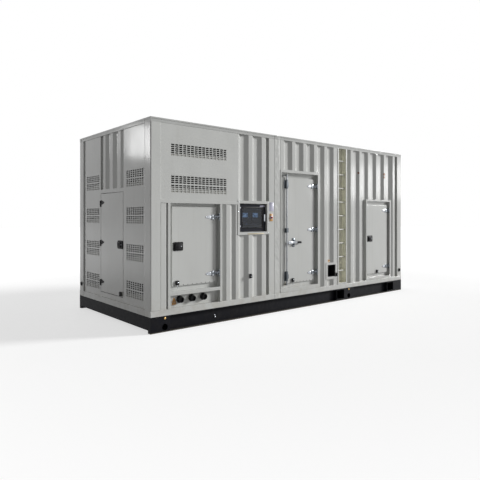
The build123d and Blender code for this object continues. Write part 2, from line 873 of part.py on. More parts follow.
# Inlet box for the supply connections
with BuildPart() as inlet_box:
    plate("front", inlet_outer, (0, wall_thickness), [inlet_opening])
    tub = grown(inlet_opening, inlet_wall)
    plate("front", tub, (wall_thickness, inlet_depth), [inlet_opening])
    plate("front", tub, (inlet_depth, inlet_depth + inlet_wall))
inlet_box.part.label = "inlet_box"

# Emergency stop: a mushroom button on a plate beside the control cabinet
stop_place = (control_outer[1] + stop_offset, stop_height)
stop_plate = (68, 120)
stop_stem = 14
stop_knob = 25
stop_neck = 10
stop_reach = 24
stop_sides = 16
stop_taper = 35
with BuildPart() as emergency_stop:
    plate("front", (stop_place[0] - stop_plate[0] / 2, stop_place[0] + stop_plate[0] / 2,
                    stop_place[1] - stop_plate[1] / 2, stop_place[1] + stop_plate[1] / 2), (0, skin_set))
    discs = ((stop_stem, 0, stop_neck, 0), (stop_knob, stop_neck, stop_reach, stop_taper))
    for radius, low, high, taper in discs:
        with BuildSketch(face("front", -low)) as disc:
            with Locations(stop_place):
                RegularPolygon(radius, stop_sides)
        extrude(disc.sketch, amount=high - low, taper=taper)
emergency_stop.part.label = "emergency_stop"

# Door leaves of the front and what is fixed to them
with BuildPart() as left_door_leaf:
    recessed_leaf("front", left_door)
left_door_leaf.part.label = "left_door_leaf"

with BuildPart() as man_door_leaf:
    recessed_leaf("front", man_door)
man_door_leaf.part.label = "man_door_leaf"

with BuildPart() as right_door_leaf:
    recessed_leaf("front", right_door)
right_door_leaf.part.label = "right_door_leaf"


def paddle_lock(side, span, outer):
    """Paddle lock: a flat black housing with a raised paddle."""
    plate(side, span, (outer - lock_plate, outer))
    third = (span[1] - span[0]) / 3
    paddle = (span[0] + lock_rim[0], span[1] - third, span[2] + lock_rim[1], span[3] - lock_rim[1])
    with BuildSketch(face(side, outer - lock_plate)) as grip:
        rectangle(paddle)
    extrude(grip.sketch, amount=lock_reach - lock_plate, taper=lock_taper)


def door_stay(side, span, outer):
    """Striker at the foot of a leaf that meets the catch on the wall."""
    plate(side, span, (outer - stay_reach, outer))


with BuildPart() as left_door_fittings:
    outer = leaf_face(left_door)
    for height in left_door["hinges"]:
        cranked_strap("front", left_door, height)
    paddle_lock("front", left_door["lock"], outer)
    door_stay("front", left_door["stay"], outer)
left_door_fittings.part.label = "left_door_fittings"

with BuildPart() as man_door_fittings:
    outer = leaf_face(man_door)
    for height in man_door["hinges"]:
        cranked_strap("front", man_door, height)
    door_stay("front", man_door["stay"], outer)
man_door_fittings.part.label = "man_door_fittings"

with BuildPart() as right_door_fittings:
    outer = leaf_face(right_door)
    for height in right_door["hinges"]:
        cranked_strap("front", right_door, height)
    paddle_lock("front", right_door["lock"], outer)
    door_stay("front", right_door["stay"], outer)
right_door_fittings.part.label = "right_door_fittings"

# Lock bar of the man door: an upright bar in guides, with cams at its ends and a handle
bar_place = man_door["leaf"][0] + bar_from_leaf
bar_depth = leaf_face(man_door) - bar_guide_reach
bar_ends = (man_door["leaf"][2] - bar_overhang[0], man_door["leaf"][3] + bar_overhang[1])
with BuildPart() as man_door_lock_bar:
    barrel("front", bar_place, bar_depth, bar_ends[0], bar_ends[1], bar_radius)
    for low in (bar_ends[0], bar_ends[1] - cam_height):
        plate("front", (bar_place - cam_width / 2, bar_place + cam_width / 2, low, low + cam_height),
              (bar_depth, bar_depth + cam_reach))
    hub = (bar_place, bar_place + handle_hub, handle_height - bar_radius, handle_height + bar_radius)
    plate("front", hub, (bar_depth - handle_thickness, bar_depth + handle_thickness))
    with BuildSketch(face("front", bar_depth - handle_thickness)) as grip:
        with Locations((bar_place + (handle_hub + handle_length) / 2, handle_height)):
            RectangleRounded(handle_length - handle_hub, handle_width, handle_round)
    extrude(grip.sketch, amount=-handle_thickness)
man_door_lock_bar.part.label = "man_door_lock_bar"

with BuildPart() as man_door_bar_guides:
    outer = leaf_face(man_door)
    for height in guide_heights:
        hole = bar_radius + bar_play
        front, back = bar_depth - hole - guide_wall, outer - guide_plate
        near, far = guide_width / 2, guide_foot
        points = ((-far, back), (-near, back), (-near, front), (near, front), (near, back), (far, back),
                  (far, outer), (hole, outer), (hole, bar_depth - hole), (-hole, bar_depth - hole),
                  (-hole, outer), (-far, outer))
        prism("front", [(bar_place + across, depth) for across, depth in points],
              (height - guide_height / 2, height + guide_height / 2))
man_door_bar_guides.part.label = "man_door_bar_guides"

# Fixed hinge halves, keepers and catches
with BuildPart() as fixed_hinges:
    for door in (left_door, man_door, right_door):
        for height in door["hinges"]:
            fixed_hinge("front", door, height)
    for height in control_hinges:
        low, high = height - control_knuckle, height - clearance
        barrel("front", control_pivot[0], control_pivot[1], low, high, control_barrel, knuckle_sides)
        plate("front", (control_recess[0], control_pivot[0], low, high),
              (control_pivot[1], control_pivot[1] + control_hinge_plate))
fixed_hinges.part.label = "fixed_hinges"


# Ends: two upright panels with four grilles each, a folded panel above a flush door
end_windows = [(s0, s1, row - end_grille_height / 2, row + end_grille_height / 2)
               for s0, s1 in end_grille_columns for row in end_grille_rows]


with BuildPart() as end_panels:
    for side in ("left", "right"):
        for span in end_panel_spans:
            windows = [window for window in end_windows if span[0] < window[0] < span[1]]
            plate(side, (*span, rail_top, wall_top), (end_wall_set, wall_thickness), windows)
end_panels.part.label = "end_panels"

with BuildPart() as end_grilles:
    for side in ("left", "right"):
        for window in end_windows:
            grille(side, window, end_grille_slot_count, end_wall_set)
end_grilles.part.label = "end_grilles"

with BuildPart() as end_baffles:
    for side in ("left", "right"):
        for window in end_windows:
            baffles(side, window, end_wall_set + grille_sheet + end_vane_set)
end_baffles.part.label = "end_baffles"

with BuildPart() as end_upper_panels:
    for side in ("left", "right"):
        crests = [(c - end_crest_width / 2, c + end_crest_width / 2) for c in end_crest_centres]
        line = wave_line(end_centre_span, crests, end_wall_set, corrugation_slope, corrugation_depth)
        points = line + [(end_centre_span[1], wall_thickness), (end_centre_span[0], wall_thickness)]
        prism(side, points, (end_centre_floor, wall_top))
end_upper_panels.part.label = "end_upper_panels"

end_frame_depth = end_wall_set + end_leaf_thickness + seal_gap
with BuildPart() as end_door_frames:
    for side in ("left", "right"):
        around = (*end_centre_span, rail_top, end_centre_floor)
        plate(side, around, (end_wall_set, end_frame_depth), [end_door["opening"]])
        plate(side, around, (end_frame_depth, wall_thickness), [grown(end_door["opening"], -end_frame_rim)])
end_door_frames.part.label = "end_door_frames"


def end_leaf(side):
    """Flush leaf of an end door, hinged on its left."""
    s0, s1, z0, z1 = end_door["opening"]
    plate(side, (s0 + end_edge_gap, s1 - end_free_gap, z0 + end_edge_gap, z1 - end_edge_gap),
          (end_wall_set, end_wall_set + end_leaf_thickness))


end_pivot = (end_door["opening"][0], end_wall_set - barrel_radius)
end_barrel = barrel_radius - 1


def end_fittings(side, sides=0):
    """Moving halves of the end door's tapered hinges, its lock and its striker."""
    s0 = end_door["opening"][0]
    for height in end_door["hinges"]:
        low, high = height + knuckle_gap, height + barrel_height / 2
        barrel(side, end_pivot[0], end_pivot[1], low, high, end_barrel, sides)
        root, tip = s0 + end_strap[0], s0 + end_strap[1]
        places = ((s0, end_strap[3] / 2), (root, end_strap[3] / 2), (root, end_strap[2] / 2),
                  (tip, end_strap[3] / 2))
        with BuildSketch(face(side, end_wall_set - strap_thickness)) as outline:
            with BuildLine():
                Polyline(*strap_outline(places, height + end_strap[3]), close=True)
            make_face()
        extrude(outline.sketch, amount=-strap_thickness)
    paddle_lock(side, end_door["lock"], end_wall_set)
    door_stay(side, end_door["stay"], end_wall_set)


with BuildPart() as left_end_door_leaf:
    end_leaf("left")
left_end_door_leaf.part.label = "left_end_door_leaf"

with BuildPart() as left_end_door_fittings:
    end_fittings("left")
left_end_door_fittings.part.label = "left_end_door_fittings"

with BuildPart() as right_end_door_leaf:
    end_leaf("right")
right_end_door_leaf.part.label = "right_end_door_leaf"

with BuildPart() as right_end_door_fittings:
    end_fittings("right", knuckle_sides)
right_end_door_fittings.part.label = "right_end_door_fittings"

with BuildPart() as end_fixed_hinges:
    for side in ("left", "right"):
        for height in end_door["hinges"]:
            low = height - barrel_height / 2
            leaf = (end_pivot[0] - end_hinge_leaf, end_pivot[0])
            depth = (end_wall_set - strap_thickness, end_wall_set)
            barrel(side, end_pivot[0], end_pivot[1], low, height - knuckle_gap, end_barrel, knuckle_sides)
            plate(side, (*leaf, low, height - knuckle_gap), depth)
            plate(side, (leaf[0], leaf[1] - barrel_inset, low, height + barrel_height / 2), depth)
end_fixed_hinges.part.label = "end_fixed_hinges"

# Catches on the walls that hold the open doors
def catch(side, place, height, depth=0.0):
    """Hook-shaped catch on a wall: a plate, an arm and an upturned nose."""
    outer, near = depth - catch_reach, depth - catch_plate
    low, high = height - catch_height / 2, height + catch_height / 2
    plate(side, (place - catch_width / 2, place + catch_width / 2, low, high), (near, depth))
    hook = (place - catch_hook_width / 2, place + catch_hook_width / 2)
    rail_across(side, hook, ((near, low + catch_plate), (near, height + catch_hook_gap),
                             (outer + catch_hook_gap, height + catch_hook_gap),
                             (outer + catch_hook_gap, high - catch_plate), (outer, high - catch_plate),
                             (outer, height - catch_hook_gap)))


with BuildPart() as door_catches:
    for side in ("front", "rear"):
        catch(side, control_outer[0] + control_crest, left_catch_height, skin_set)
        catch(side, body_length - right_catch_inset, right_catch_height)
    for side in ("left", "right"):
        catch(side, end_catch_inset, end_catch_height)
    catch("front", inlet_outer[1] - man_catch_inset, man_catch_height)
door_catches.part.label = "door_catches"

# Rear wall: repeats the front's bays and its two service doors
with BuildPart() as rear_bay_panels:
    long_side_bays("rear")
    wave_panel("rear", (intake_span[1], right_door["outer"][0]), (rail_top, wall_top), control_crest)
rear_bay_panels.part.label = "rear_bay_panels"

with BuildPart() as rear_infill_panels:
    wave_panel("rear", gland_span, (rail_top, left_door["outer"][2]), first_crest)
    wave_panel("rear", right_door["outer"][:2], (right_door["outer"][3], wall_top), right_door_crest)
rear_infill_panels.part.label = "rear_infill_panels"

with BuildPart() as rear_door_frames:
    flanged_door_frame("rear", left_door)
    flanged_door_frame("rear", right_door)
rear_door_frames.part.label = "rear_door_frames"

with BuildPart() as rear_door_leaves:
    recessed_leaf("rear", left_door)
    recessed_leaf("rear", right_door)
rear_door_leaves.part.label = "rear_door_leaves"

with BuildPart() as rear_door_fittings:
    for door in (left_door, right_door):
        outer = leaf_face(door)
        for height in door["hinges"]:
            cranked_strap("rear", door, height, fixed=True)
        paddle_lock("rear", door["lock"], outer)
rear_door_fittings.part.label = "rear_door_fittings"

pieces = [
    base_flanges, base_webs, lifting_pads, end_base_beams, base_cross_members, fork_pocket_plates,
    fork_pocket_walls, floor_plate, bottom_side_rails, bottom_end_rails, corner_posts, top_side_rails,
    top_end_rails, roof_panel, exhaust_outlets, front_bay_panels, front_infill_panels, intake_panels,
    intake_grilles, intake_baffles, left_door_frame, man_door_frame, right_door_frame, gland_plate,
    cable_glands, control_frame, control_door, control_window, control_door_fittings, control_console,
    ladder_recess, ladder_rungs, inlet_box, emergency_stop, left_door_leaf, man_door_leaf,
    right_door_leaf, left_door_fittings, man_door_fittings, right_door_fittings, man_door_lock_bar,
    man_door_bar_guides, fixed_hinges, end_panels, end_grilles, end_baffles, end_upper_panels,
    end_door_frames, left_end_door_leaf, left_end_door_fittings, right_end_door_leaf,
    right_end_door_fittings, end_fixed_hinges, door_catches, rear_bay_panels, rear_infill_panels,
    rear_door_frames, rear_door_leaves, rear_door_fittings,
]
os.makedirs("parts", exist_ok=True)
for piece in pieces:
    export_step(piece.part, f"parts/{piece.part.label}.step")
print(len(pieces), "pieces")
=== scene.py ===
# %% [markdown]
# # A diesel generator in a soundproof container housing
# The steel housing, its doors and hinges come from the CAD model as a fixed frame. What is left
# for Blender is what makes steel look real: punched holes, screws, seals, the instruments
# behind the glass, and paint, chrome, rubber and dust that answer the light.

# %% Load the fixed frame
import math

import bmesh
import bpy
from mathutils import Matrix, Vector


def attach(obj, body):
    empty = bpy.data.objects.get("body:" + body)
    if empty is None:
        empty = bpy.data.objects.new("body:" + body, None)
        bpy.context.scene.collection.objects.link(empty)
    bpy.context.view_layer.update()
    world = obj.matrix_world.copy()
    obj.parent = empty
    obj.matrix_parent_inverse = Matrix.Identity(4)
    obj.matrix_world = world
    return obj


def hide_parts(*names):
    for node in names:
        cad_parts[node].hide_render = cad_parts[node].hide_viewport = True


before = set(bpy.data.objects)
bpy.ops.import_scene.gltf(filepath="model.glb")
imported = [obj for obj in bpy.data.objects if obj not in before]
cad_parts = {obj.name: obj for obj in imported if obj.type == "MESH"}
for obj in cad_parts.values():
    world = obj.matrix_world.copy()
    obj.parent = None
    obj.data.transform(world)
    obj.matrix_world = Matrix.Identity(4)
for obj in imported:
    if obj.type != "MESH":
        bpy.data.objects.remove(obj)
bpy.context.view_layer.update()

# %% [markdown]
# ## Camera
# The photographer stood off the left front corner, with the camera level at a little over
# half the housing's height. A level camera keeps every upright of the housing upright in the
# picture. The picture was cropped a little off its middle, so the lens is shifted down.

# %% Camera
camera_place = (-6.159, -6.788, 1.559)
camera_turn = math.radians(-40.02)
bpy.ops.object.camera_add(location=camera_place, rotation=(math.pi / 2, 0, camera_turn))
camera = bpy.context.object
camera.data.sensor_width = 36
camera.data.lens = 35.55
camera.data.shift_y = -0.048
bpy.context.scene.camera = camera
print("camera lens", camera.data.lens, "mm")

# %% [markdown]
# ## Material helpers
# A material is a tree of nodes that ends in one Principled shader. Numbers that are the same all
# over a surface are set on the shader itself. What varies is worked out by other nodes and
# linked to it. These helpers each add a node or two, so that a finish reads like a recipe.


# %% Start a finish and link to it
finishes = {}


def new_finish(name, **constants):
    """Start a material with numbers set on its Principled shader, such as Metallic=1.0."""
    material = bpy.data.materials.new(name)
    material.use_nodes = True
    finishes[name] = material
    shader = material.node_tree.nodes["Principled BSDF"]
    for socket, value in constants.items():
        shader.inputs[socket.replace("_", " ")].default_value = value
    return material.node_tree, shader


def wire(tree, shader, **values):
    """Link nodes to the shader's sockets, such as Base_Color=shade."""
    for socket, value in values.items():
        tree.links.new(value, shader.inputs[socket.replace("_", " ")])


def calculate(tree, operation, *values):
    """Result of a Math node, from numbers or from other nodes."""
    step = tree.nodes.new("ShaderNodeMath")
    step.operation = operation
    for socket, value in zip(step.inputs, values):
        if isinstance(value, float):
            socket.default_value = value
        else:
            tree.links.new(value, socket)
    return step.outputs[0]


def remap(tree, value, start, end, low, high, curve="LINEAR"):
    """A value that runs from start to end, stretched to run from low to high."""
    reach = tree.nodes.new("ShaderNodeMapRange")
    reach.interpolation_type = curve
    for socket, number in (("From Min", start), ("From Max", end), ("To Min", low), ("To Max", high)):
        reach.inputs[socket].default_value = number
    tree.links.new(value, reach.inputs["Value"])
    return reach.outputs["Result"]


def between(tree, factor, low, high):
    """A number that goes from low to high with a factor of 0 to 1."""
    return remap(tree, factor, 0.0, 1.0, low, high)


def position(tree, stretch=(1, 1, 1)):
    """Place on the housing in metres, stretched along its axes."""
    where = tree.nodes.new("ShaderNodeTexCoord")
    scale = tree.nodes.new("ShaderNodeMapping")
    scale.inputs["Scale"].default_value = stretch
    tree.links.new(where.outputs["Object"], scale.inputs["Vector"])
    return scale.outputs["Vector"]


def distance_from(tree, place):
    """Distance in metres between the surface and a place."""
    away = tree.nodes.new("ShaderNodeVectorMath")
    away.operation = "DISTANCE"
    tree.links.new(position(tree), away.inputs[0])
    away.inputs[1].default_value = place
    return away.outputs["Value"]


print("material helpers are ready")

# %% [markdown]
# ## Floor, backdrop and light
# The photograph shows the housing cut out on white. More light on a white floor would give that
# white too, but it would wash the housing out. So the floor and the world glow only for rays
# from the camera, from mirrors and through glass, which the Light Path node can tell apart.


# %% Floor
def seen_directly(tree):
    """1 for rays from the camera, mirrors and glass, 0 for the rays that light the object."""
    path = tree.nodes.new("ShaderNodeLightPath")
    either = calculate(tree, "MAXIMUM", path.outputs["Is Camera Ray"], path.outputs["Is Glossy Ray"])
    return calculate(tree, "MAXIMUM", either, path.outputs["Is Transmission Ray"])


bpy.ops.mesh.primitive_plane_add(size=120)
floor = bpy.context.object
floor.name = "floor"
tree, shader = new_finish("floor_white", Base_Color=(0.45, 0.45, 0.45, 1), Roughness=0.9,
                          Specular_IOR_Level=0.0, Emission_Color=(1, 1, 1, 1))
near_edge, far_edge, near_glow, far_glow = 4.0, 13.0, 0.64, 0.93
away = distance_from(tree, (0, 0, 0))
own_light = remap(tree, away, near_edge, far_edge, near_glow, far_glow, "SMOOTHSTEP")
wire(tree, shader, Emission_Strength=calculate(tree, "MULTIPLY", seen_directly(tree), own_light))
floor.data.materials.append(finishes["floor_white"])
print("floor glows", near_glow, "to", far_glow)

# %% World
world = bpy.data.worlds.new("studio")
world.use_nodes = True
bpy.context.scene.world = world
tree = world.node_tree
sky = tree.nodes["Background"]
sky.inputs["Color"].default_value = (1, 1, 1, 1)
room_light = 0.165
tree.links.new(between(tree, seen_directly(tree), room_light, 1.0), sky.inputs["Strength"])
bpy.context.scene.view_settings.view_transform = "Standard"
print("room light", room_light)

# %% [markdown]
# ### Lamps
# A wide sun from the front right brightens the folds that face it. It comes in just steeply
# enough to reach the bottom of each fold. The folds that face left and the whole left end stay
# in half shade, as in the photograph. Two area lamps stand where windows would: the paint
# mirrors one near the left end's top corner and the other over the right doors. A last lamp
# fills the rear, which the photograph doesn't show.


# %% Lamps
def turned_to(way):
    """Turn of a lamp that shines along a direction."""
    return way.to_track_quat("-Z", "Y").to_euler()


def lamp(name, place, aim, width, height, watts):
    """An area lamp at a place, turned to shine at another."""
    way = Vector(aim) - Vector(place)
    bpy.ops.object.light_add(type="AREA", location=place, rotation=turned_to(way))
    light = bpy.context.object
    light.name = name
    light.data.shape = "RECTANGLE"
    light.data.size, light.data.size_y = width, height
    light.data.energy = watts
    print(name, watts, "W")


bpy.ops.object.light_add(type="SUN", rotation=turned_to(Vector((-0.855, 0.40, -0.33))))
sun = bpy.context.object
sun.name = "wide_sun"
sun.data.energy = 3.95
sun.data.angle = math.radians(14)
lamp("left_window_lamp", (-6.3, 4.8, 3.62), (-3.0, -0.8, 2.5), 1.0, 0.85, 12.5)
lamp("right_window_lamp", (8.9, -5.7, 2.85), (2.2, -1.2, 2.2), 4.0, 1.2, 54)
lamp("rear_fill_lamp", (2.0, 13.0, 5.0), (0, 1.2, 1.4), 6, 4, 260)

# %% [markdown]
# ## Finishes
# Colour, roughness and fine relief come from noise read at Object coordinates, which here are
# metres on the housing. So one paint runs on over all its panels at one scale, which image
# textures would only do with careful unwrapping.


# %% Patterns, shades and relief
def noise(tree, size, detail=3.0, stretch=(1, 1, 1)):
    """Cloudy pattern of 0 to 1 whose patches are about the given size in metres."""
    cloud = tree.nodes.new("ShaderNodeTexNoise")
    cloud.inputs["Scale"].default_value = 1 / size
    cloud.inputs["Detail"].default_value = detail
    tree.links.new(position(tree, stretch), cloud.inputs["Vector"])
    return cloud.outputs["Fac"]


def coordinate(tree, axis):
    """Place along one axis of the housing in metres."""
    split = tree.nodes.new("ShaderNodeSeparateXYZ")
    tree.links.new(position(tree), split.inputs["Vector"])
    return split.outputs[axis]


def band(tree, value, start, end):
    """0 before start and 1 past end, smooth between them."""
    return remap(tree, value, start, end, 0.0, 1.0, "SMOOTHSTEP")


def times(tree, a, b):
    """Product of two values."""
    return calculate(tree, "MULTIPLY", a, b)


def tint(tree, factor, first, second):
    """Colour that goes from the first to the second with a factor."""
    mixed = tree.nodes.new("ShaderNodeMix")
    mixed.data_type = "RGBA"
    tree.links.new(factor, mixed.inputs["Factor"])
    for socket, colour in ((mixed.inputs[6], first), (mixed.inputs[7], second)):
        if isinstance(colour, tuple):
            socket.default_value = (*colour, 1)
        else:
            tree.links.new(colour, socket)
    return mixed.outputs[2]


def relief(tree, height, depth, below=None):
    """Fine relief of a depth in metres, laid over another normal."""
    bumps = tree.nodes.new("ShaderNodeBump")
    bumps.inputs["Strength"].default_value = 1.0
    bumps.inputs["Distance"].default_value = depth
    tree.links.new(height, bumps.inputs["Height"])
    if below is not None:
        tree.links.new(below, bumps.inputs["Normal"])
    return bumps.outputs["Normal"]


def rounded_edges(tree, radius):
    """Normals that turn round each sharp edge, as on folded sheet."""
    edge = tree.nodes.new("ShaderNodeBevel")
    edge.samples = 4
    edge.inputs["Radius"].default_value = radius
    return edge.outputs["Normal"]


print("pattern helpers are ready")

# %% [markdown]
# ### Housing paint
# Warm off-white enamel, sprayed thick over welded sheet, with faint runs down the walls, road
# dust near the foot and a painted shade on the rails under the roof. Each of these is one more
# tint over the colour below it, so they can be changed one by one.

# %% Paint colour
road_dust_and_flange_highlight = (0.33, 0.30, 0.25)
tree, shader = new_finish("housing_paint", Coat_Weight=0.5, Coat_Roughness=0.11)
shade = tint(tree, noise(tree, 0.9), (0.515, 0.525, 0.505), (0.565, 0.57, 0.555))
runs = band(tree, noise(tree, 0.05, 2.0, (1, 1, 0.04)), 0.52, 0.8)
shade = tint(tree, times(tree, runs, 0.16), shade, (0.42, 0.41, 0.37))
low = between(tree, band(tree, coordinate(tree, "Z"), 0.22, 0.62), 1.0, 0.0)
dust = times(tree, low, band(tree, noise(tree, 0.11, 6.0), 0.35, 0.7))
shade = tint(tree, times(tree, dust, 0.30), shade, (0.36, 0.32, 0.25))
# Painted shade: above the rails' lower edge the paint is darkened in cloudy patches, as the top rails look
# darker in this light.
rails = band(tree, coordinate(tree, "Z"), 2.828, 2.836)
painted_rail_shade = times(tree, rails, between(tree, noise(tree, 0.3, 5.0), 0.35, 0.75))
shade = tint(tree, painted_rail_shade, shade, (0.36, 0.365, 0.355))
gloss = between(tree, noise(tree, 0.35, 4.0), 0.12, 0.24)
print("paint colour:", len(tree.nodes), "nodes")

# %% [markdown]
# Small scars show rust, and the sill under the lock bar is stained. A scar is a ball about a
# place, with its distance made ragged by fine noise. Inside it the paint is darker and dull.

# %% Scars and stain
rust, faint_rust, stain = (0.17, 0.055, 0.022), (0.30, 0.17, 0.11), (0.27, 0.25, 0.20)
marks = (((1.540, -1.213, 2.415), 0.030, rust), ((2.410, -1.205, 2.438), 0.040, faint_rust),
         ((2.410, -1.205, 2.375), 0.034, faint_rust), ((-0.436, -1.180, 0.418), 0.055, stain))
for place, size, colour in marks:
    ragged = calculate(tree, "MULTIPLY_ADD", noise(tree, 0.012, 5.0), size, distance_from(tree, place))
    scar = between(tree, band(tree, ragged, size * 1.1, size * 1.45), 1.0, 0.0)
    shade = tint(tree, scar, shade, colour)
    gloss = calculate(tree, "MAXIMUM", gloss, times(tree, scar, 0.85))
wire(tree, shader, Base_Color=shade, Roughness=gloss)
print(len(marks), "marks on the paint")

# %% [markdown]
# The sheet has a slow wave where its welds pulled it and a slight orange peel. The strip left of
# the man door is buckled, and the end walls dip where they meet the posts. Modelling such
# shallow dents would take many faces, so they are relief, one laid over the other.

# %% Paint relief
strip_starts, strip_ends = (-0.745, -0.735), (-0.62, -0.63)
dip_starts, dip_ends, end_wall = (1.036, 1.054), (1.072, 1.054), (3.0, 3.008)
normal = relief(tree, noise(tree, 0.42, 1.0, (1, 1, 0.6)), 0.008, rounded_edges(tree, 0.004))
along = coordinate(tree, "X")
strip = times(tree, band(tree, along, *strip_starts), band(tree, along, *strip_ends))
normal = relief(tree, times(tree, strip, noise(tree, 0.10, 1.0)), 0.012, normal)
from_middle = calculate(tree, "ABSOLUTE", coordinate(tree, "Y"))
dip = times(tree, band(tree, from_middle, *dip_starts), band(tree, from_middle, *dip_ends))
dip = times(tree, dip, band(tree, calculate(tree, "ABSOLUTE", along), *end_wall))
normal = relief(tree, dip, -0.005, normal)
wire(tree, shader, Normal=relief(tree, noise(tree, 0.004, 1.0), 0.00002, normal))
print("housing paint:", len(tree.nodes), "nodes")

# %% [markdown]
# ### Metals, plastics and ducts
# The base is black chassis paint with a little dust, and a paler band along its foot that is a
# painted highlight for the lit bottom flange. Hinges and lock gear are zinc plate, a little
# cloudy. Locks, catches and glands are grained black plastic. The baffles in the air ducts are
# painted dull and dark, as painted shade for the inside of the ducts. All of these are made
# alike, so one recipe takes their numbers.


# %% Recipe for a coated surface
def coated(name, light, dark, rough, grain=0.01, depth=0.0001, edge=0.001, dusty=0.0, foot=0.0,
           **constants):
    """A finish with two close shades, cloudy roughness, a fine grain and rounded edges."""
    tree, shader = new_finish(name, **constants)
    shade = tint(tree, noise(tree, 0.22, 5.0), dark, light)
    if dusty:
        patch = band(tree, noise(tree, 0.07, 7.0), 0.42, 0.72)
        shade = tint(tree, times(tree, patch, dusty), shade, road_dust_and_flange_highlight)
    # Painted highlight: a paler band along the very foot, in the colour of road dust, stands in for the lit
    # bottom flange.
    if foot:
        low = between(tree, band(tree, coordinate(tree, "Z"), 0.008, 0.016), 1.0, 0.0)
        shade = tint(tree, times(tree, low, foot), shade, road_dust_and_flange_highlight)
    wire(tree, shader, Base_Color=shade, Roughness=between(tree, noise(tree, 0.045, 5.0), *rough),
         Normal=relief(tree, noise(tree, grain, 3.0), depth, rounded_edges(tree, edge)))


# The base's paler foot band is a painted highlight for its lit bottom flange.
coated("base_black", (0.007, 0.0075, 0.0105), (0.003, 0.003, 0.0045), (0.42, 0.6), grain=0.02,
       depth=0.0002, edge=0.003, dusty=0.015, foot=0.4, Specular_IOR_Level=0.08)
coated("rung_paint", (0.50, 0.505, 0.48), (0.40, 0.40, 0.36), (0.4, 0.6), grain=0.006, dusty=0.2)
print(len(finishes), "finishes")

# %% Metals
coated("hinge_chrome", (0.56, 0.58, 0.61), (0.30, 0.32, 0.35), (0.16, 0.34), grain=0.0015,
       depth=0.00004, edge=0.0012, Metallic=1.0)
coated("galvanised", (0.30, 0.31, 0.33), (0.16, 0.17, 0.18), (0.28, 0.5), grain=0.006,
       depth=0.00008, edge=0.0015, Metallic=1.0)
coated("dark_zinc", (0.15, 0.165, 0.18), (0.075, 0.085, 0.095), (0.26, 0.42), grain=0.002,
       depth=0.00004, edge=0.0012, Metallic=1.0)
coated("floor_steel", (0.30, 0.30, 0.31), (0.17, 0.17, 0.18), (0.35, 0.6), grain=0.02,
       depth=0.0006, edge=0.002, dusty=0.3, Metallic=1.0)
coated("brass", (0.72, 0.48, 0.20), (0.50, 0.32, 0.12), (0.2, 0.4), grain=0.003,
       depth=0.00005, Metallic=1.0)
print(len(finishes), "finishes")

# %% Plastics and foam
coated("black_plastic", (0.012, 0.012, 0.014), (0.006, 0.006, 0.007), (0.35, 0.5), grain=0.0009,
       depth=0.00004, edge=0.002, dusty=0.03, Specular_IOR_Level=0.12)
coated("cabinet_black", (0.022, 0.023, 0.031), (0.015, 0.016, 0.022), (0.28, 0.4), grain=0.0012,
       depth=0.00004, edge=0.002, Specular_IOR_Level=0.09)
coated("console_grey", (0.020, 0.023, 0.032), (0.012, 0.014, 0.020), (0.3, 0.45), grain=0.0012,
       depth=0.00006, edge=0.0012, Specular_IOR_Level=0.2)
coated("stop_red", (0.50, 0.018, 0.015), (0.38, 0.012, 0.010), (0.2, 0.34), grain=0.002,
       depth=0.00005, edge=0.0015, Coat_Weight=0.3)
coated("foam", (0.035, 0.035, 0.037), (0.018, 0.018, 0.02), (0.7, 0.9), grain=0.012,
       depth=0.004, edge=0.003, dusty=0.1, Specular_IOR_Level=0.1)
for name, light, dark in (("label_amber", (0.50, 0.26, 0.07), (0.40, 0.19, 0.045)),
                          ("label_pale", (0.44, 0.44, 0.54), (0.36, 0.36, 0.46)),
                          ("label_straw", (0.60, 0.52, 0.33), (0.50, 0.43, 0.27))):
    coated(name, light, dark, (0.3, 0.45), grain=0.002, depth=0.00003)
print(len(finishes), "finishes")

# %% Ducts and linings
# Painted shade: the baffles get near-black paints that stand in for the shade inside the ducts.
coated("vane_dark_painted_shade", (0.035, 0.036, 0.034), (0.02, 0.02, 0.02), (0.5, 0.7), Specular_IOR_Level=0.1)
coated("vane_grey_painted_shade", (0.085, 0.085, 0.078), (0.05, 0.05, 0.046), (0.5, 0.7), Specular_IOR_Level=0.1)
coated("duct_floor", (0.30, 0.30, 0.275), (0.20, 0.20, 0.18), (0.5, 0.7), dusty=0.2)
coated("box_dark", (0.016, 0.016, 0.017), (0.009, 0.009, 0.010), (0.45, 0.6), grain=0.006,
       edge=0.002, Specular_IOR_Level=0.15)
print(len(finishes), "finishes")

# %% [markdown]
# ### Ladder channel and smoked pane
# The ladder's channel is pale khaki inside, made paler than its paint as painted light, since
# little light reaches into the deep channel. Only its front edge has the wall's paint, so its
# colour changes with the depth in the wall. The pane of the control cabinet is smoked glass, a
# clear shader with a dark tint and a hint of waviness.

# %% Ladder channel and smoked pane
tree, shader = new_finish("recess_paint")
inside = band(tree, coordinate(tree, "Y"), -1.2187, -1.2177)
# Painted light: the channel's inside colour is lighter than its real paint, to stand in for light the deep
# channel doesn't get.
khaki_with_painted_light = tint(tree, noise(tree, 0.25, 5.0), (0.78, 0.77, 0.67), (0.70, 0.69, 0.59))
wire(tree, shader, Base_Color=tint(tree, inside, (0.54, 0.545, 0.53), khaki_with_painted_light),
     Roughness=between(tree, noise(tree, 0.05, 4.0), 0.25, 0.42),
     Normal=relief(tree, noise(tree, 0.02, 2.0), 0.0001, rounded_edges(tree, 0.003)))
tree, shader = new_finish("dark_glass", IOR=1.46, Transmission_Weight=0.97, Specular_IOR_Level=0.12)
wire(tree, shader, Base_Color=tint(tree, noise(tree, 0.12), (0.10, 0.13, 0.19), (0.14, 0.18, 0.25)),
     Roughness=between(tree, noise(tree, 0.03, 5.0), 0.02, 0.07),
     Normal=relief(tree, noise(tree, 0.3, 1.0), 0.0006))
print(len(finishes), "finishes")

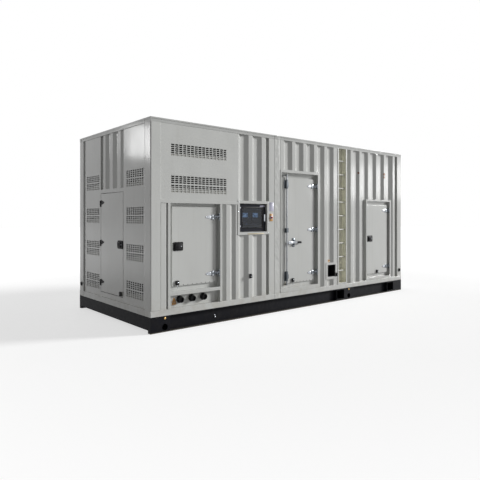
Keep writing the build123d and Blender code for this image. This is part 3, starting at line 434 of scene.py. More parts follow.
# %% [markdown]
# ### Dress the CAD parts
# Each CAD part came with plain slots named for its finish. The shape stays as it is, and only
# the material in each slot is exchanged. The baffles behind the grilles get a dark paint that
# stands in for the shade inside the ducts: a painted shade.

# %% Dress the CAD parts
special = {"intake_baffles": "vane_grey_painted_shade", "end_baffles": "vane_dark_painted_shade",
           "man_door_bar_guides": "dark_zinc", "ladder_rungs": "rung_paint"}
dressed = 0
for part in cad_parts.values():
    for slot in part.material_slots:
        plain = slot.material.name.split(".")[0]
        slot.material = finishes[special.get(part.name, plain)]
        dressed += 1
print("dressed", dressed, "slots")

# %% [markdown]
# ## Working on a side of the housing
# Every side is laid out like a drawing: x runs along the side from its left corner, y goes into
# the housing, z is height, all in millimetres. A piece is modelled there with Blender's own
# modelling operators and then turned onto its side, and its place is applied to its mesh.

# %% Sides of the housing
mm = 0.001
half_length, half_width = 3.029, 1.219
side_frames = {
    "front": Matrix.Translation((-half_length, -half_width, 0)),
    "rear": Matrix.Translation((half_length, half_width, 0)) @ Matrix.Rotation(math.pi, 4, "Z"),
    "left": Matrix.Translation((-half_length, half_width, 0)) @ Matrix.Rotation(-math.pi / 2, 4, "Z"),
    "right": Matrix.Translation((half_length, -half_width, 0)) @ Matrix.Rotation(math.pi / 2, 4, "Z"),
    "in place": Matrix(),
}
print("sides:", *side_frames)

# %% [markdown]
# An operator acts on whatever is selected, so every helper first selects just its own piece. A
# piece starts as a box or a round bar at its full size. It is settled at once, which means that
# its place, turn and size go into its mesh.


# %% Start a piece
def hold(*pieces):
    """Leave edit mode and select only these pieces, the first one active."""
    if bpy.context.mode != "OBJECT":
        bpy.ops.object.mode_set(mode="OBJECT")
    bpy.ops.object.select_all(action="DESELECT")
    for piece in pieces:
        piece.select_set(True)
    bpy.context.view_layer.objects.active = pieces[0] if pieces else None


def settle(piece):
    """Apply a piece's place, turn and size to its mesh."""
    hold(piece)
    bpy.ops.object.transform_apply(location=True, rotation=True, scale=True)
    return piece


def block(name, low, high):
    """Box between two corners in millimetres."""
    hold()
    low, high = Vector(low) * mm, Vector(high) * mm
    bpy.ops.mesh.primitive_cube_add(size=1, location=(low + high) / 2, scale=high - low)
    piece = bpy.context.object
    piece.name = name
    return settle(piece)


def round_bar(name, centre, radius, length, axis="Y", corners=16):
    """Round bar about a centre in millimetres."""
    hold()
    turn = {"X": (0, math.pi / 2, 0), "Y": (math.pi / 2, 0, 0), "Z": (0, 0, 0)}[axis]
    bpy.ops.mesh.primitive_cylinder_add(vertices=corners, radius=radius * mm, depth=length * mm,
                                        location=Vector(centre) * mm, rotation=turn)
    piece = bpy.context.object
    piece.name = name
    return settle(piece)


print("pieces start as a block or a round bar")

# %% [markdown]
# In edit mode, faces and edges are picked by their place and direction, as a hand would pick
# them by eye, and then inset, raised or pulled. Picking by direction keeps working when a size
# changes, which picking by number would not.


# %% Shape a piece
def pick(piece, kind, test):
    """In edit mode, select the faces, edges or corners whose middle and direction pass a test."""
    hold(piece)
    bpy.ops.object.mode_set(mode="EDIT")
    bpy.ops.mesh.select_mode(type=kind)
    bpy.ops.mesh.select_all(action="DESELECT")
    shape = bmesh.from_edit_mesh(piece.data)
    for part in {"FACE": shape.faces, "EDGE": shape.edges, "VERT": shape.verts}[kind]:
        if kind == "FACE":
            middle, way = part.calc_center_median(), part.normal
        elif kind == "EDGE":
            middle = (part.verts[0].co + part.verts[1].co) / 2
            way = (part.verts[1].co - part.verts[0].co).normalized()
        else:
            middle, way = part.co, part.normal
        if test(middle / mm, way):
            part.select_set(True)
    shape.select_flush_mode()
    bmesh.update_edit_mesh(piece.data)


def everything(middle, way):
    """True for every part."""
    return True


def outer(middle, way):
    """True for faces that look out of the side."""
    return way.y < -0.9


def inset(width, rise=0.0, each=False):
    """Inset the selected faces, and raise or sink them, in millimetres."""
    bpy.ops.mesh.inset(thickness=width * mm, depth=rise * mm, use_individual=each)


def pull(x=0.0, y=0.0, z=0.0):
    """Extrude the selection by millimetres along the axes."""
    bpy.ops.mesh.extrude_region_move(TRANSFORM_OT_translate={"value": Vector((x, y, z)) * mm})


def crown(piece, *steps, test=outer):
    """Inset and raise a face in steps of (width, rise) in millimetres."""
    pick(piece, "FACE", test)
    for width, rise in steps:
        inset(width, rise)
    hold(piece)
    return piece


def round_uprights(piece, radius):
    """Round the four edges that run into the housing."""
    pick(piece, "EDGE", lambda middle, way: abs(way.y) > 0.9)
    bpy.ops.mesh.bevel(offset=radius * mm, segments=3, affect="EDGES")
    hold(piece)
    return piece


def bore(piece, axis, wall):
    """Open a piece along an axis: its two end faces are inset and bridged."""
    pick(piece, "FACE", lambda middle, way: abs(way["XYZ".index(axis)]) > 0.9)
    inset(wall, each=True)
    bpy.ops.mesh.bridge_edge_loops()
    hold(piece)
    return piece


print("pieces are shaped by crown, round_uprights and bore")

# %% [markdown]
# A last bevel rounds what is still sharp. What repeats is copied, each copy with its own mesh,
# and joined, so that like pieces are one object.


# %% Round, copy and join
def modify(piece, kind, **settings):
    """Add a modifier and apply it."""
    hold(piece)
    change = piece.modifiers.new(kind.lower(), kind)
    for setting, value in settings.items():
        setattr(change, setting, value)
    bpy.ops.object.modifier_apply(modifier=change.name)
    return piece


def smooth(piece, angle=40):
    """Shade a piece smooth, but not over edges sharper than an angle."""
    hold(piece)
    bpy.ops.object.shade_smooth_by_angle(angle=math.radians(angle))
    return piece


def soften(piece, width, steps=2, angle=35):
    """Round a piece's sharp edges and shade it smooth between them."""
    modify(piece, "BEVEL", width=width * mm, segments=steps, limit_method="ANGLE",
           angle_limit=math.radians(angle))
    return smooth(piece, angle)


def twin(piece, move=(0, 0, 0)):
    """A copy of a piece with its own mesh, moved by millimetres."""
    copy = piece.copy()
    copy.data = piece.data.copy()
    bpy.context.collection.objects.link(copy)
    copy.location = Vector(move) * mm
    return settle(copy)


def weld(name, pieces):
    """Join pieces into one object."""
    hold(*pieces)
    if len(pieces) > 1:
        bpy.ops.object.join()
    joined = bpy.context.view_layer.objects.active
    joined.name = joined.data.name = name
    return joined


def repeat(piece, moves):
    """The piece at each of the moves, as one object; the first move is the piece's own."""
    copies = [twin(piece, move) for move in moves]
    name = piece.name
    bpy.data.objects.remove(piece)
    return weld(name, copies)


def on_both(piece, sides):
    """The piece on two opposite sides, as one object that still lies on the first side."""
    turned = twin(piece)
    turned.matrix_world = side_frames[sides[0]].inverted() @ side_frames[sides[1]] @ turned.matrix_world
    return weld(piece.name, [piece, settle(turned)])


def fix(piece, finish, body="housing", side="front"):
    """Turn a finished piece onto its side, give it its finish and let it ride on a body."""
    hold(piece)
    piece.matrix_world = side_frames[side] @ piece.matrix_world
    settle(piece)
    piece.data.materials.clear()
    piece.data.materials.append(finishes[finish])
    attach(piece, body)
    print(piece.name, len(piece.data.polygons), "faces on", body)
    return piece


print("pieces are finished by soften, weld and fix")

# %% [markdown]
# ## Punched grilles
# The air grilles are sheets punched with rows of short slots. Cutting each slot with a Boolean
# would be slow and messy. Modelled by hand, a sheet like this starts as a grid with one cell
# for each slot: every cell is inset, the inner faces are deleted, and a Solidify modifier gives
# the sheet its thickness. The grid is inset while it is still narrow and stretched afterwards,
# so the bars come out wider than the strips between rows. That keeps each slot down to a few
# faces, which matters with so many of them.

# %% Grille maker
sheet_thickness = 4.0
slot_rim, slot_pitch = 4.5, 28.0
join_gap = 0.0004


def punched(name, low, high, columns, rows, depth, widening):
    """Punched sheet between two corners (along, up), its front at a depth, one cell per slot."""
    hold()
    bpy.ops.mesh.primitive_grid_add(x_subdivisions=columns, y_subdivisions=rows, size=1,
                                    rotation=(math.pi / 2, 0, 0))
    piece = bpy.context.object
    piece.name = name
    piece.scale = ((high[0] - low[0]) * mm / widening, (high[1] - low[1]) * mm, 1)
    settle(piece)
    pick(piece, "FACE", everything)
    inset(slot_rim, each=True)
    bpy.ops.mesh.delete(type="FACE")
    hold(piece)
    piece.scale.x = widening
    piece.location = Vector(((low[0] + high[0]) / 2, depth, (low[1] + high[1]) / 2)) * mm
    return settle(piece)


def stretch_edge(piece, height, move):
    """Pull the sheet's edge at a height up or down to close the margin beside it."""
    pick(piece, "EDGE", lambda middle, way: abs(middle.z - height) < 0.5 and abs(way.z) < 0.1)
    pull(z=move)
    hold(piece)


def grille_sheet(name, window, columns, rows, near, depth, widening):
    """Whole grille of one window: two groups of slot rows about its middle, thickened inwards."""
    middle = (window[2] + window[3]) / 2
    halves = []
    for way, rim in ((1, window[3]), (-1, window[2])):
        start = middle + way * near
        end = start + way * rows * slot_pitch
        low, high = (window[0], min(start, end)), (window[1], max(start, end))
        half = punched(name, low, high, columns, rows, depth, widening)
        stretch_edge(half, end, rim - end)
        if near:
            stretch_edge(half, start, middle - start)
        halves.append(half)
    sheet = weld(name, halves)
    pick(sheet, "FACE", everything)
    bpy.ops.mesh.remove_doubles(threshold=join_gap)
    hold(sheet)
    return modify(sheet, "SOLIDIFY", thickness=sheet_thickness * mm, offset=-1.0)


print("slots every", slot_pitch, "mm")

# %% Intake grilles
panel_depth, intake_widening = 6.0, 1.5
upper_window = (314, 1289, 2396, 2571)
lower_window = (314, 1289, 1887, 2139)
upper = grille_sheet("intake_upper", upper_window, 15, 3, 0.0, panel_depth, intake_widening)
lower = grille_sheet("intake_lower", lower_window, 15, 4, 6.0, panel_depth, intake_widening)
intake = on_both(weld("punched_intake_grilles", [upper, lower]), ("front", "rear"))
fix(intake, "housing_paint")
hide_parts("intake_grilles")

# %% End grilles
end_depth, end_widening, end_half_height = 16.0, 2.6, 125
end_columns = ((258, 777), (1701, 2222))
end_row_middles = (2111, 1582, 1055, 528)
top_row = end_row_middles[0]
sheets = []
for start, end in end_columns:
    window = (start, end, top_row - end_half_height, top_row + end_half_height)
    sheet = grille_sheet("end_sheet", window, 8, 4, 6.0, end_depth, end_widening)
    sheets.append(repeat(sheet, [(0, 0, row - top_row) for row in end_row_middles]))
ends = on_both(weld("punched_end_grilles", sheets), ("left", "right"))
fix(ends, "housing_paint", side="left")
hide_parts("end_grilles")

# %% [markdown]
# ## Fastenings
# Nearly every fitting is held by the same few fastenings, so each is modelled once as a turned
# form: a cylinder with a dozen sides whose outer face is inset and raised into a dome. A dozen
# sides are enough for a head of 20 mm, and copies stay cheap. Plates, rings and tubes repeat as
# often, so they have their makers here too.


# %% Bolt, plate, ring and tube makers
def bolts(name, places, radius=9.0, reach=6.0):
    """Domed bolt heads on a face, at places given as (along, depth, height)."""
    along, depth, height = first = places[0]
    head = round_bar(name, (along, depth - reach / 3, height), radius, reach * 2 / 3, corners=12)
    smooth(crown(head, (radius * 0.3, reach / 4), (radius * 0.35, reach / 12)))
    return repeat(head, [tuple(b - a for a, b in zip(first, place)) for place in places])


def pad(name, span, depths, round_by=2.0):
    """Plate of a span (along from, to, up from, to) with rounded corners and outer edges."""
    plate = block(name, (span[0], depths[0], span[2]), (span[1], depths[1], span[3]))
    round_uprights(plate, round_by * 2)
    return smooth(crown(plate, (round_by * 0.4, round_by * 0.25)), 35)


def ring(name, span, width, depths, corner=0.0):
    """Rectangular ring: a box that is opened from front to back."""
    frame_ring = block(name, (span[0], depths[0], span[2]), (span[1], depths[1], span[3]))
    if corner:
        round_uprights(frame_ring, corner)
    return bore(frame_ring, "Y", width)


def sleeve(name, centre, radius, wall, length, axis="Z"):
    """Open tube: a bar that is opened from end to end."""
    return smooth(bore(round_bar(name, centre, radius, length, axis, 20), axis, wall))


def grown(span, by):
    """A span made larger by millimetres on every side."""
    return (span[0] - by, span[1] + by, span[2] - by, span[3] + by)


print("makers: bolts, pad, ring, sleeve")

# %% [markdown]
# ## Door hardware
# The CAD model has each door's straps, lock and striker in one node with one finish, but the
# real straps are bright zinc and the locks black plastic. New straps could be modelled, but a
# copy of the node keeps them exactly on their pins. The copy is merged and taken apart into its
# loose solids, and each kind is rounded and given its own finish. The node itself stays hidden.

# %% Take the fittings apart
shortest_strap, shortest_lock, lock_corner = 180, 100, 8


def loose_parts(node):
    """Copies of the separate solids of a CAD node, cleaned of the edges inside flat faces."""
    copy = bpy.data.objects.new(node + "_copy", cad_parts[node].data.copy())
    bpy.context.collection.objects.link(copy)
    pick(copy, "VERT", everything)
    bpy.ops.mesh.remove_doubles(threshold=0.00002)
    bpy.ops.mesh.dissolve_limited(angle_limit=math.radians(1))
    bpy.ops.mesh.separate(type="LOOSE")
    bpy.ops.object.mode_set(mode="OBJECT")
    return list(bpy.context.selected_objects)


def across(piece):
    """Longer level side of a piece in millimetres."""
    corners = [vertex.co / mm for vertex in piece.data.vertices]
    return max(max(corner[axis] for corner in corners) - min(corner[axis] for corner in corners)
               for axis in (0, 1))


for node, body in (("left_door_fittings", "left_door"), ("man_door_fittings", "man_door"),
                   ("right_door_fittings", "right_door"), ("rear_door_fittings", "housing")):
    parts = loose_parts(node)
    straps = [soften(part, 0.9) for part in parts if across(part) > shortest_strap]
    locks = [round_uprights(part, lock_corner) for part in parts
             if shortest_lock < across(part) <= shortest_strap]
    strikers = [part for part in parts if across(part) <= shortest_lock]
    black = [soften(part, 1.2) for part in locks + strikers]
    pressed = fix(weld(node.replace("fittings", "straps"), straps), "hinge_chrome", body, "in place")
    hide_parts(node)
    fix(weld(node.replace("fittings", "locks"), black), "black_plastic", body, "in place")

# %% [markdown]
# ### Ribs, clamps, bolts and pin caps
# A pressed strap has a raised rib that stiffens it, a dark clamp shaped like an H over its root,
# bolts through the leaf, dark rings round its pin and a cap on top. These small things catch the
# light and make the hinges read as metal. Each place is a distance from the hinge's pin, so one
# maker serves every door.

# %% Strap gear maker
strap_thickness, pin_depth = 4.0, 10
rib_reach = (190, 124)
clamp_bars = ((116, 102, 35), (66, 52, 35), (104, 64, 8))
strap_bolts = ((85, 24), (85, -24), (202, 0))
strap_doors = {
    "left_door": (1155, 53, (1557, 727)),
    "man_door": (3348, 45, (2098, 1335, 580)),
    "right_door": (5617, 33, (1690, 540)),
}


def strap_gear(name, pivot, face_depth, heights):
    """Bright ribs, bolts and caps, and dark clamps and rings, of one door's straps."""
    face = face_depth - strap_thickness
    bright, dark = [], []
    for height in heights:
        rib = block("rib", (pivot - rib_reach[0], face - 3.2, height - 9),
                    (pivot - rib_reach[1], face + 0.5, height + 9))
        bright.append(soften(crown(rib, (3.0, 0.0)), 1.4))
        for far, near, half in clamp_bars:
            bar = block("clamp", (pivot - far, face - 5, height - half),
                        (pivot - near, face + 0.5, height + half))
            dark.append(soften(crown(bar, (2.0, 0.8)), 1.2))
        spots = [(pivot - far, face, height + rise) for far, rise in strap_bolts]
        bright.append(bolts("bolts", spots, 7.0, 5.5))
        for step in (-33, 0, 33):
            dark.append(soften(sleeve("knuckle", (pivot, pin_depth, height + step), 9.7, 1.6, 26), 0.6))
        cap = round_bar("cap", (pivot, pin_depth, height + 50.5), 9.5, 5, axis="Z")
        bright.append(smooth(crown(cap, (3.0, 1.4), test=lambda middle, way: way.z > 0.9)))
    return weld(name, bright), weld(name.replace("gear", "clamps"), dark)


print("strap gear from", len(clamp_bars), "clamp bars and", len(strap_bolts), "bolts a strap")

# %% Strap gear on the doors
for door, (pivot, face_depth, heights) in strap_doors.items():
    gear, clamps = strap_gear(door + "_strap_gear", pivot, face_depth, heights)
    fix(gear, "hinge_chrome", door)
    fix(clamps, "dark_zinc", door)
rear_gear = [strap_gear("gear", *strap_doors[door]) for door in ("left_door", "right_door")]
bright, dark = zip(*rear_gear)
fix(weld("rear_strap_gear", bright), "hinge_chrome", side="rear")
fix(weld("rear_strap_clamps", dark), "dark_zinc", side="rear")

# %% [markdown]
# ### Lock bar brackets, handle and keeper
# The tall bar on the man door turns in tube brackets and throws a cam at each end. Its handle
# swings out of a forked keeper on the leaf, which holds it while the door is locked. The
# brackets stay on the leaf, and the handle's plate and grip ride on the bar.

# %% Lock bar brackets
bar_along, bar_depth, leaf_face, handle_height = 2593, 21, 45, 1124
foot_depths = (38.5, leaf_face - 0.2)
brackets = []
for low_end, high_end in ((478, 646), (2034, 2186)):
    middle, length = (low_end + high_end) / 2, high_end - low_end
    brackets.append(soften(sleeve("tube", (bar_along, bar_depth, middle), 19, 5.0, length), 0.8))
    foot = pad("foot", (bar_along - 44, bar_along + 44, low_end + 8, high_end - 8), foot_depths, 3)
    spots = [(bar_along + side * 34, foot_depths[0], middle + end * (length - 46) / 2)
             for side in (-1, 1) for end in (-1, 1)]
    brackets += [foot, bolts("bolts", spots, 6.5, 5.0)]
fix(weld("bar_brackets", brackets), "dark_zinc", "man_door")

# %% Handle and keeper
hub_span = (bar_along + 26, bar_along + 128, handle_height - 25, handle_height + 25)
hub = pad("hub", hub_span, (7.5, 13.2), 5)
studs = bolts("studs", [(bar_along + far, 7.5, handle_height) for far in (46, 108)], 6.5, 5.0)
fix(weld("handle_plate", [hub, studs]), "hinge_chrome", "man_door_bar")
grip = block("handle_grip", (2846, 8.5, handle_height - 19), (2942, 25, handle_height + 19))
soften(crown(grip, (4.0, 1.0), test=lambda middle, way: way.x > 0.9), 4.0, 3)
fix(grip, "black_plastic", "man_door_bar")
base_span = (2742, 2800, handle_height - 76, handle_height + 76)
keeper = [pad("base", base_span, (39, leaf_face - 0.2), 4)]
for way in (-1, 1):
    arm_height = handle_height + way * 34
    arm = block("arm", (2754, 7, arm_height - 9), (2788, 40, arm_height + 9))
    keeper.append(soften(crown(arm, (3.0, 1.5)), 3.0, 3))
keeper.append(bolts("bolts", [(2771, 39, handle_height + way * 62) for way in (-1, 1)], 6.5, 5.0))
fix(weld("handle_keeper", keeper), "dark_zinc", "man_door")

# %% [markdown]
# ## Paddle locks
# A paddle lock is a black housing with a hinged paddle and, beside it, a bright key cylinder.
# The housing is a solid of the CAD model, so only what lies on and around it is modelled: a
# rubber gasket, a rim, a ribbed grip on the paddle, corner screws and the cylinder.

# %% Paddle lock details
lock_width, lock_height, lock_reach = 152, 116, 10
paddle_locks = (
    ("left_door", "front", "left_door", 386, 1090, 53),
    ("right_door", "front", "right_door", 4892, 1068, 33),
    ("left_end_door", "left", "left_end_door", 1445, 1092, 16),
    ("right_end_door", "right", "housing", 1445, 1092, 16),
    ("rear_left_door", "rear", "housing", 386, 1090, 53),
    ("rear_right_door", "rear", "housing", 4892, 1068, 33),
)
for door, side, body, start, foot, depth in paddle_locks:
    end, top, front = start + lock_width, foot + lock_height, depth - lock_reach
    span, middle = (start, end, foot, top), (foot + top) / 2
    gasket = ring("gasket", grown(span, 3), 14, (depth - 3, depth - 0.2), lock_corner + 3)
    rim = soften(ring("rim", span, 5, (front - 2.5, front), lock_corner), 1.0)
    ribs = [soften(block("grip", (rib, front - 17.5, middle - 24), (rib + 4, front - 15, middle + 24)), 0.8)
            for rib in range(start + 24, start + 69, 9)]
    fix(weld(door + "_lock_rim", [rim, gasket, *ribs]), "black_plastic", body, side)
    cylinder = round_bar("cylinder", (end - 30, front - 3, middle), 9, 6, corners=20)
    soften(crown(cylinder, (2.0, 1.0), (3.0, -1.5)), 0.5)
    key_slot = block("key_slot", (end - 31.2, front - 6.2, middle - 5), (end - 28.8, front - 4, middle + 5))
    fix(weld(door + "_lock_cylinder", [cylinder, soften(key_slot, 0.3)]), "galvanised", body, side)
    spots = [(along, front, height) for along in (start + 10, end - 10) for height in (foot + 11, top - 11)]
    fix(weld(door + "_lock_screws", [bolts("screws", spots, 4.5, 2.6)]), "black_plastic", body, side)

# %% [markdown]
# ## Cable glands
# Three big plastic glands pass the power cables through the wall. Each is a flange, a
# twelve-sided nut and a domed mouth. The mouth is drawn out of one disc by insets and
# extrusions, down to the rubber membrane inside it, because that leaves no seam between them.

# %% Cable glands
gland_height, gland_back = 406, 66
glands = []
for along in (494, 695, 894):
    flange = round_bar("flange", (along, gland_back - 4, gland_height), 52, 8, corners=32)
    nut = round_bar("nut", (along, gland_back - 18, gland_height), 50, 20, corners=12)
    mouth = round_bar("mouth", (along, gland_back - 38, gland_height), 46, 22, corners=32)
    pick(mouth, "FACE", outer)
    inset(3.5, 6)
    inset(6.0, 3)
    inset(2.0)
    pull(y=24)
    inset(24.0, 4)
    glands += [soften(flange, 1.5), soften(nut, 2.5), smooth(mouth, 32)]
glands = fix(weld("power_glands", glands), "black_plastic")
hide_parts("cable_glands")

# %% [markdown]
# ## Control cabinet
# Behind the smoked pane stand two controllers with lit screens, rows of keys and a line of
# lamps. The pane sits in a rubber gasket, as in a car window. A picture of a screen isn't
# needed, because a brick pattern broken up by noise already gives uneven rows of light.

# %% Cabinet gasket and lit screens
pane = (1621, 2049, 1385, 1708)
gasket = soften(ring("pane_gasket", grown(pane, 9), 15, (32.5, 36)), 1.2)
fix(gasket, "black_plastic", "cabinet_door")
tree, shader = new_finish("lit_screen", Roughness=0.25, Base_Color=(0.02, 0.05, 0.09, 1))
upright = tree.nodes.new("ShaderNodeMapping")
upright.inputs["Rotation"].default_value = (math.pi / 2, 0, 0)
tree.links.new(position(tree), upright.inputs["Vector"])
cells = tree.nodes.new("ShaderNodeTexBrick")
for socket, value in (("Scale", 1.0), ("Mortar Size", 0.0035), ("Brick Width", 0.034), ("Row Height", 0.013)):
    cells.inputs[socket].default_value = value
tree.links.new(upright.outputs["Vector"], cells.inputs["Vector"])
readings = times(tree, cells.outputs["Fac"], band(tree, noise(tree, 0.03, 1.0), 0.45, 0.6))
wire(tree, shader, Emission_Color=tint(tree, readings, (0.06, 0.13, 0.20), (0.65, 0.80, 0.88)),
     Emission_Strength=between(tree, noise(tree, 0.05), 1.0, 2.6))

# %% Controllers, keys and lamps
module_front, lamp_front = 88, 100
bezels, screens, keys = [], [], []
for start in (1640, 1860):
    bezel = ring("bezel", (start + 4, start + 146, 1540, 1636), 12, (module_front - 6, module_front))
    bezels.append(soften(bezel, 1.5))
    screen = block("screen", (start + 15, module_front - 2, 1551), (start + 135, module_front, 1625))
    screens.append(crown(screen, (2.0, -0.6)))
    row = [(start + 18 + 19 * step, module_front, 1518) for step in range(7)]
    keys.append(bolts("keys", row, 6.0, 4.0))
row = [(1650 + 40 * step, lamp_front, 1440) for step in range(9)]
keys.append(bolts("lamp_rims", row, 11.0, 8.0))
fix(weld("controller_bezels", bezels), "black_plastic")
fix(weld("controller_screens", screens), "lit_screen")
fix(weld("controller_keys", keys), "galvanised")

# %% [markdown]
# ## Emergency stop
# A red mushroom button on a white collar, on a small plate beside the cabinet. The mushroom is
# drawn from its stem: the outer face is inset outwards, pulled into a head and domed.

# %% Emergency stop
stop_along, stop_height = 2210, 1551
plate_span = (stop_along - 34, stop_along + 34, stop_height - 60, stop_height + 60)
fix(pad("stop_plate", plate_span, (0.5, 6), 4), "label_amber")
collar = round_bar("stop_collar", (stop_along, -3.5, stop_height), 26, 8, corners=32)
pick(collar, "FACE", outer)
inset(3.0, 1.5)
inset(8.0)
pull(y=-4)
fix(soften(collar, 0.8), "label_pale")
knob = round_bar("stop_knob", (stop_along, -13, stop_height), 15, 8, corners=32)
pick(knob, "FACE", outer)
bpy.ops.mesh.inset(thickness=9 * mm, depth=0, use_outset=True)
pull(y=-4)
inset(3.0, 1.6)
inset(7.0, 1.2)
fix(smooth(knob, 50), "stop_red")
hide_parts("emergency_stop")

# %% [markdown]
# ## Plates
# Thin coloured plates sit by the cabinet, the glands and the inlet box. Each is a plain pad that
# stands a millimetre off its wall, so that its edge catches light, which a mere patch of colour
# wouldn't do. The one at the glands has a pointed top, a block whose top face is narrowed.


# %% Plates
def bare_plate(name, span, surface, colour, body="housing"):
    """Thin plate on a surface at a depth."""
    fix(pad(name, span, (surface - 1.2, surface - 0.05), 1.5), colour, body)


sign_depths, sign_middle = (64.6, 65.9), Vector((403, 65, 438))
sign = pad("gland_sign", (368, 438, 338, 372), sign_depths, 1.5)
peak = block("peak", (368, sign_depths[0], 376), (438, sign_depths[1], 438))
pick(peak, "FACE", lambda middle, way: way.z > 0.9)
bpy.ops.transform.resize(value=(0.12, 1, 1), center_override=sign_middle * mm)
crown(peak, (3.0, 0.5))
fix(weld("gland_sign", [sign, peak]), "label_amber")
bare_plate("data_plate", (2166, 2268, 1654, 1797), 6, "label_pale")
bare_plate("inlet_sign", (3686, 3742, 732, 776), 42, "label_amber")
bare_plate("sill_strip", (1702, 2050, 1288, 1302), 0, "label_straw")
bare_plate("door_plate", (1986, 2098, 1720, 1744), 35, "label_pale", "cabinet_door")

# %% [markdown]
# ## Inlet box and lifting holes
# The box in the wall is lined in black, and behind each lifting hole sits a pressed cup that
# keeps dirt out of the base, so both look dark from outside. A cup is a short bar whose front
# face is inset and pushed inwards, which is quicker than building its wall and bottom apart.

# %% Linings and cups
lining = ring("lining", (3628.5, 3849.5, 468.5, 683.5), 3, (14, 147))
back = pad("back", (3632, 3846, 472, 680), (143, 147), 2)
fix(weld("inlet_lining", [lining, back]), "box_dark")
lifting_holes = {"front": (219, 4245), "rear": (1813, 5839)}
for side, places in lifting_holes.items():
    cups = []
    for along in places:
        cup = round_bar("cup", (along, 100, 68), 49, 50, corners=24)
        pick(cup, "FACE", outer)
        inset(3.0)
        pull(y=44)
        inset(8.0, 2.0)
        cups.append(smooth(cup))
    fix(weld(side + "_lifting_cups", cups), "box_dark", side=side)

# %% [markdown]
# ## Duct floors behind the grilles
# Below its middle each grille lets the light fall on the sloping floor of the air duct. A thin
# plate with a slanted top edge stands for the lit part of that floor, which is all that shows
# through slots this narrow.


# %% Duct floors
def duct_floor(window, foot, rise, fall, depth):
    """Thin plate just behind a window, whose top edge falls from rise to fall along the side."""
    start, end = window[0] + 4, window[1] - 4
    front = depth + sheet_thickness + 1
    plate = block("duct", (start, front, foot), (end, front + 2, foot + 20))
    pick(plate, "FACE", lambda middle, way: way.z > 0.9)
    pull(z=rise - 20)
    pick(plate, "EDGE", lambda middle, way: (middle.x > end - 0.5 and middle.z > foot + 21
                                             and abs(way.y) > 0.9))
    bpy.ops.transform.translate(value=(0, 0, (fall - rise) * mm))
    return crown(plate, (1.5, -0.4))


floors = [duct_floor(column, row - 121, 40, 92, end_depth)
          for column in end_columns for row in end_row_middles]
ends = on_both(weld("end_duct_floors", floors), ("left", "right"))
fix(ends, "duct_floor", side="left")
floors = [duct_floor(lower_window, lower_window[2] + 4, 74, 62, panel_depth),
          duct_floor(upper_window, upper_window[2] + 4, 34, 50, panel_depth)]
sides = on_both(weld("intake_duct_floors", floors), ("front", "rear"))
fix(sides, "duct_floor")

# %% [markdown]
# ## Plugs, stud and catches
# Brass plugs sit over the lifting holes, and an earth stud stands on the base. Both are domed
# heads from the bolt maker. Each catch that holds an open door has two ears with a roller
# between them, an open tube.

# %% Plugs, stud and catches
for side, places in lifting_holes.items():
    plugs = bolts(side + "_lifting_plugs", [(along, 0, 188) for along in places], 15, 7)
    fix(plugs, "brass", side=side)
fix(bolts("earth_stud", [(1106, 60, 104), (1106, 60, 78)], 9, 12), "hinge_chrome")
catches = ((1763, 635), (3872, 497), (5980, 430))
ears = []
for along, height in catches:
    for middle in (along - 15, along + 15):
        ear = block("ear", (middle - 4, -21, height - 27), (middle + 4, 2, height + 27))
        ears.append(soften(crown(ear, (2.0, 1.0)), 1.5))
fix(weld("catch_ears", ears), "black_plastic")
rollers = [sleeve("roller", (along, -13, height), 7, 2.5, 20, axis="X") for along, height in catches]
fix(weld("catch_rollers", rollers), "hinge_chrome")

# %% [markdown]
# ## Doors' small parts
# The three doors of the front share their build, so their small parts are placed from each
# leaf's own edges and depth, which are given once here. At its foot each door has a striker pin
# with a bent tail, drawn out of a bar's end, and a row of screws that holds the bottom seal.

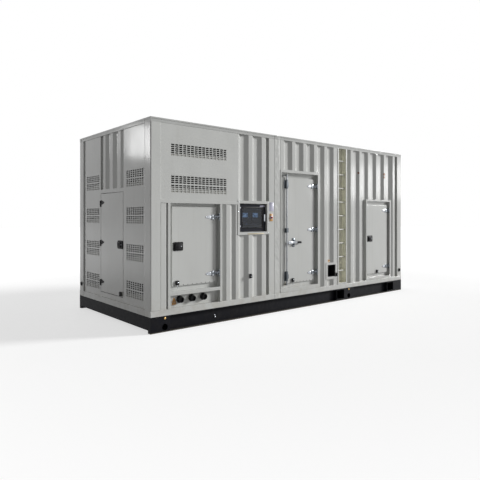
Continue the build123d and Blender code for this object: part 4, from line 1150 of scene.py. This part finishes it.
# %% Strikers
door_leaves = {
    "left_door": ((362, 1121, 594, 1706), 53),
    "man_door": ((2505, 3296, 437, 2224), 45),
    "right_door": ((4874, 5581, 410, 1800), 33),
}
strikers = {"left_door": (445, 640), "man_door": (2755, 485), "right_door": (5215, 455)}
for door, (along, height) in strikers.items():
    face = door_leaves[door][1]
    pin = round_bar("pin", (along, face - 25, height + 4), 6, 30, axis="X")
    pick(pin, "FACE", lambda middle, way: abs(way.x) > 0.9)
    inset(2.0, -1.0, each=True)
    tail = round_bar("tail", (along + 4, face - 7, height - 50), 3.5, 48, axis="Z", corners=12)
    pick(tail, "FACE", lambda middle, way: way.z < -0.9)
    inset(1.0)
    pull(x=9, z=-12)
    striker = weld(door + "_striker_pin", [soften(pin, 0.8), soften(tail, 0.5)])
    fix(striker, "hinge_chrome", door)

# %% Sill and cabinet screws
screw_count, screw_margin, screw_rise = 10, 34, 12
for door, (span, face) in door_leaves.items():
    pitch = (span[1] - span[0] - 2 * screw_margin) / (screw_count - 1)
    row = [(span[0] + screw_margin + step * pitch, face, span[2] + screw_rise) for step in range(screw_count)]
    fix(bolts(door + "_sill_screws", row, 5.5, 3.0), "black_plastic", door)
spots = [(along, 0, height) for along in (1524, 2142) for height in (1304, 1460, 1633, 1790)]
fix(bolts("cabinet_screws", spots, 6.0, 3.5), "hinge_chrome")

# %% [markdown]
# ### Door linings
# The doors of a soundproof housing carry foam on their backs, held in by a pressed border. It
# shows only while a door is open, so a box is enough, with its border raised by one inset and
# its middle sunk by another.

# %% Foam linings
leaf_thickness, foam_margin, hinge_margin = 67, 64, 84
for door, (span, face) in door_leaves.items():
    back = face + leaf_thickness
    foam = block(door + "_foam", (span[0] + foam_margin, back - 0.5, span[2] + foam_margin),
                 (span[1] - hinge_margin, back + 6, span[3] - foam_margin))
    crown(foam, (8.0, 2.0), (22.0, -3.0), test=lambda middle, way: way.y > 0.9)
    fix(soften(foam, 2.0), "foam", door)

# %% [markdown]
# ### Door seals
# A hollow rubber profile runs round the back of every leaf and closes the gap to the frame. It
# shows as the dark line round each door. A ring bridged out of one box has closed corners, which
# four separate bars wouldn't have.

# %% Door seals
seal_depth, seal_width, seal_thickness = 22, 18, 4.6
for door in ("left_door", "man_door", "right_door", "rear_left_door", "rear_right_door"):
    span, face = door_leaves[door.removeprefix("rear_")]
    side, body = ("rear", "housing") if door.startswith("rear_") else ("front", door)
    back = face + seal_depth
    seal = soften(ring("seal", grown(span, -2), seal_width, (back, back + seal_thickness)), 1.5)
    fix(weld(door + "_seal", [seal]), "black_plastic", body, side)
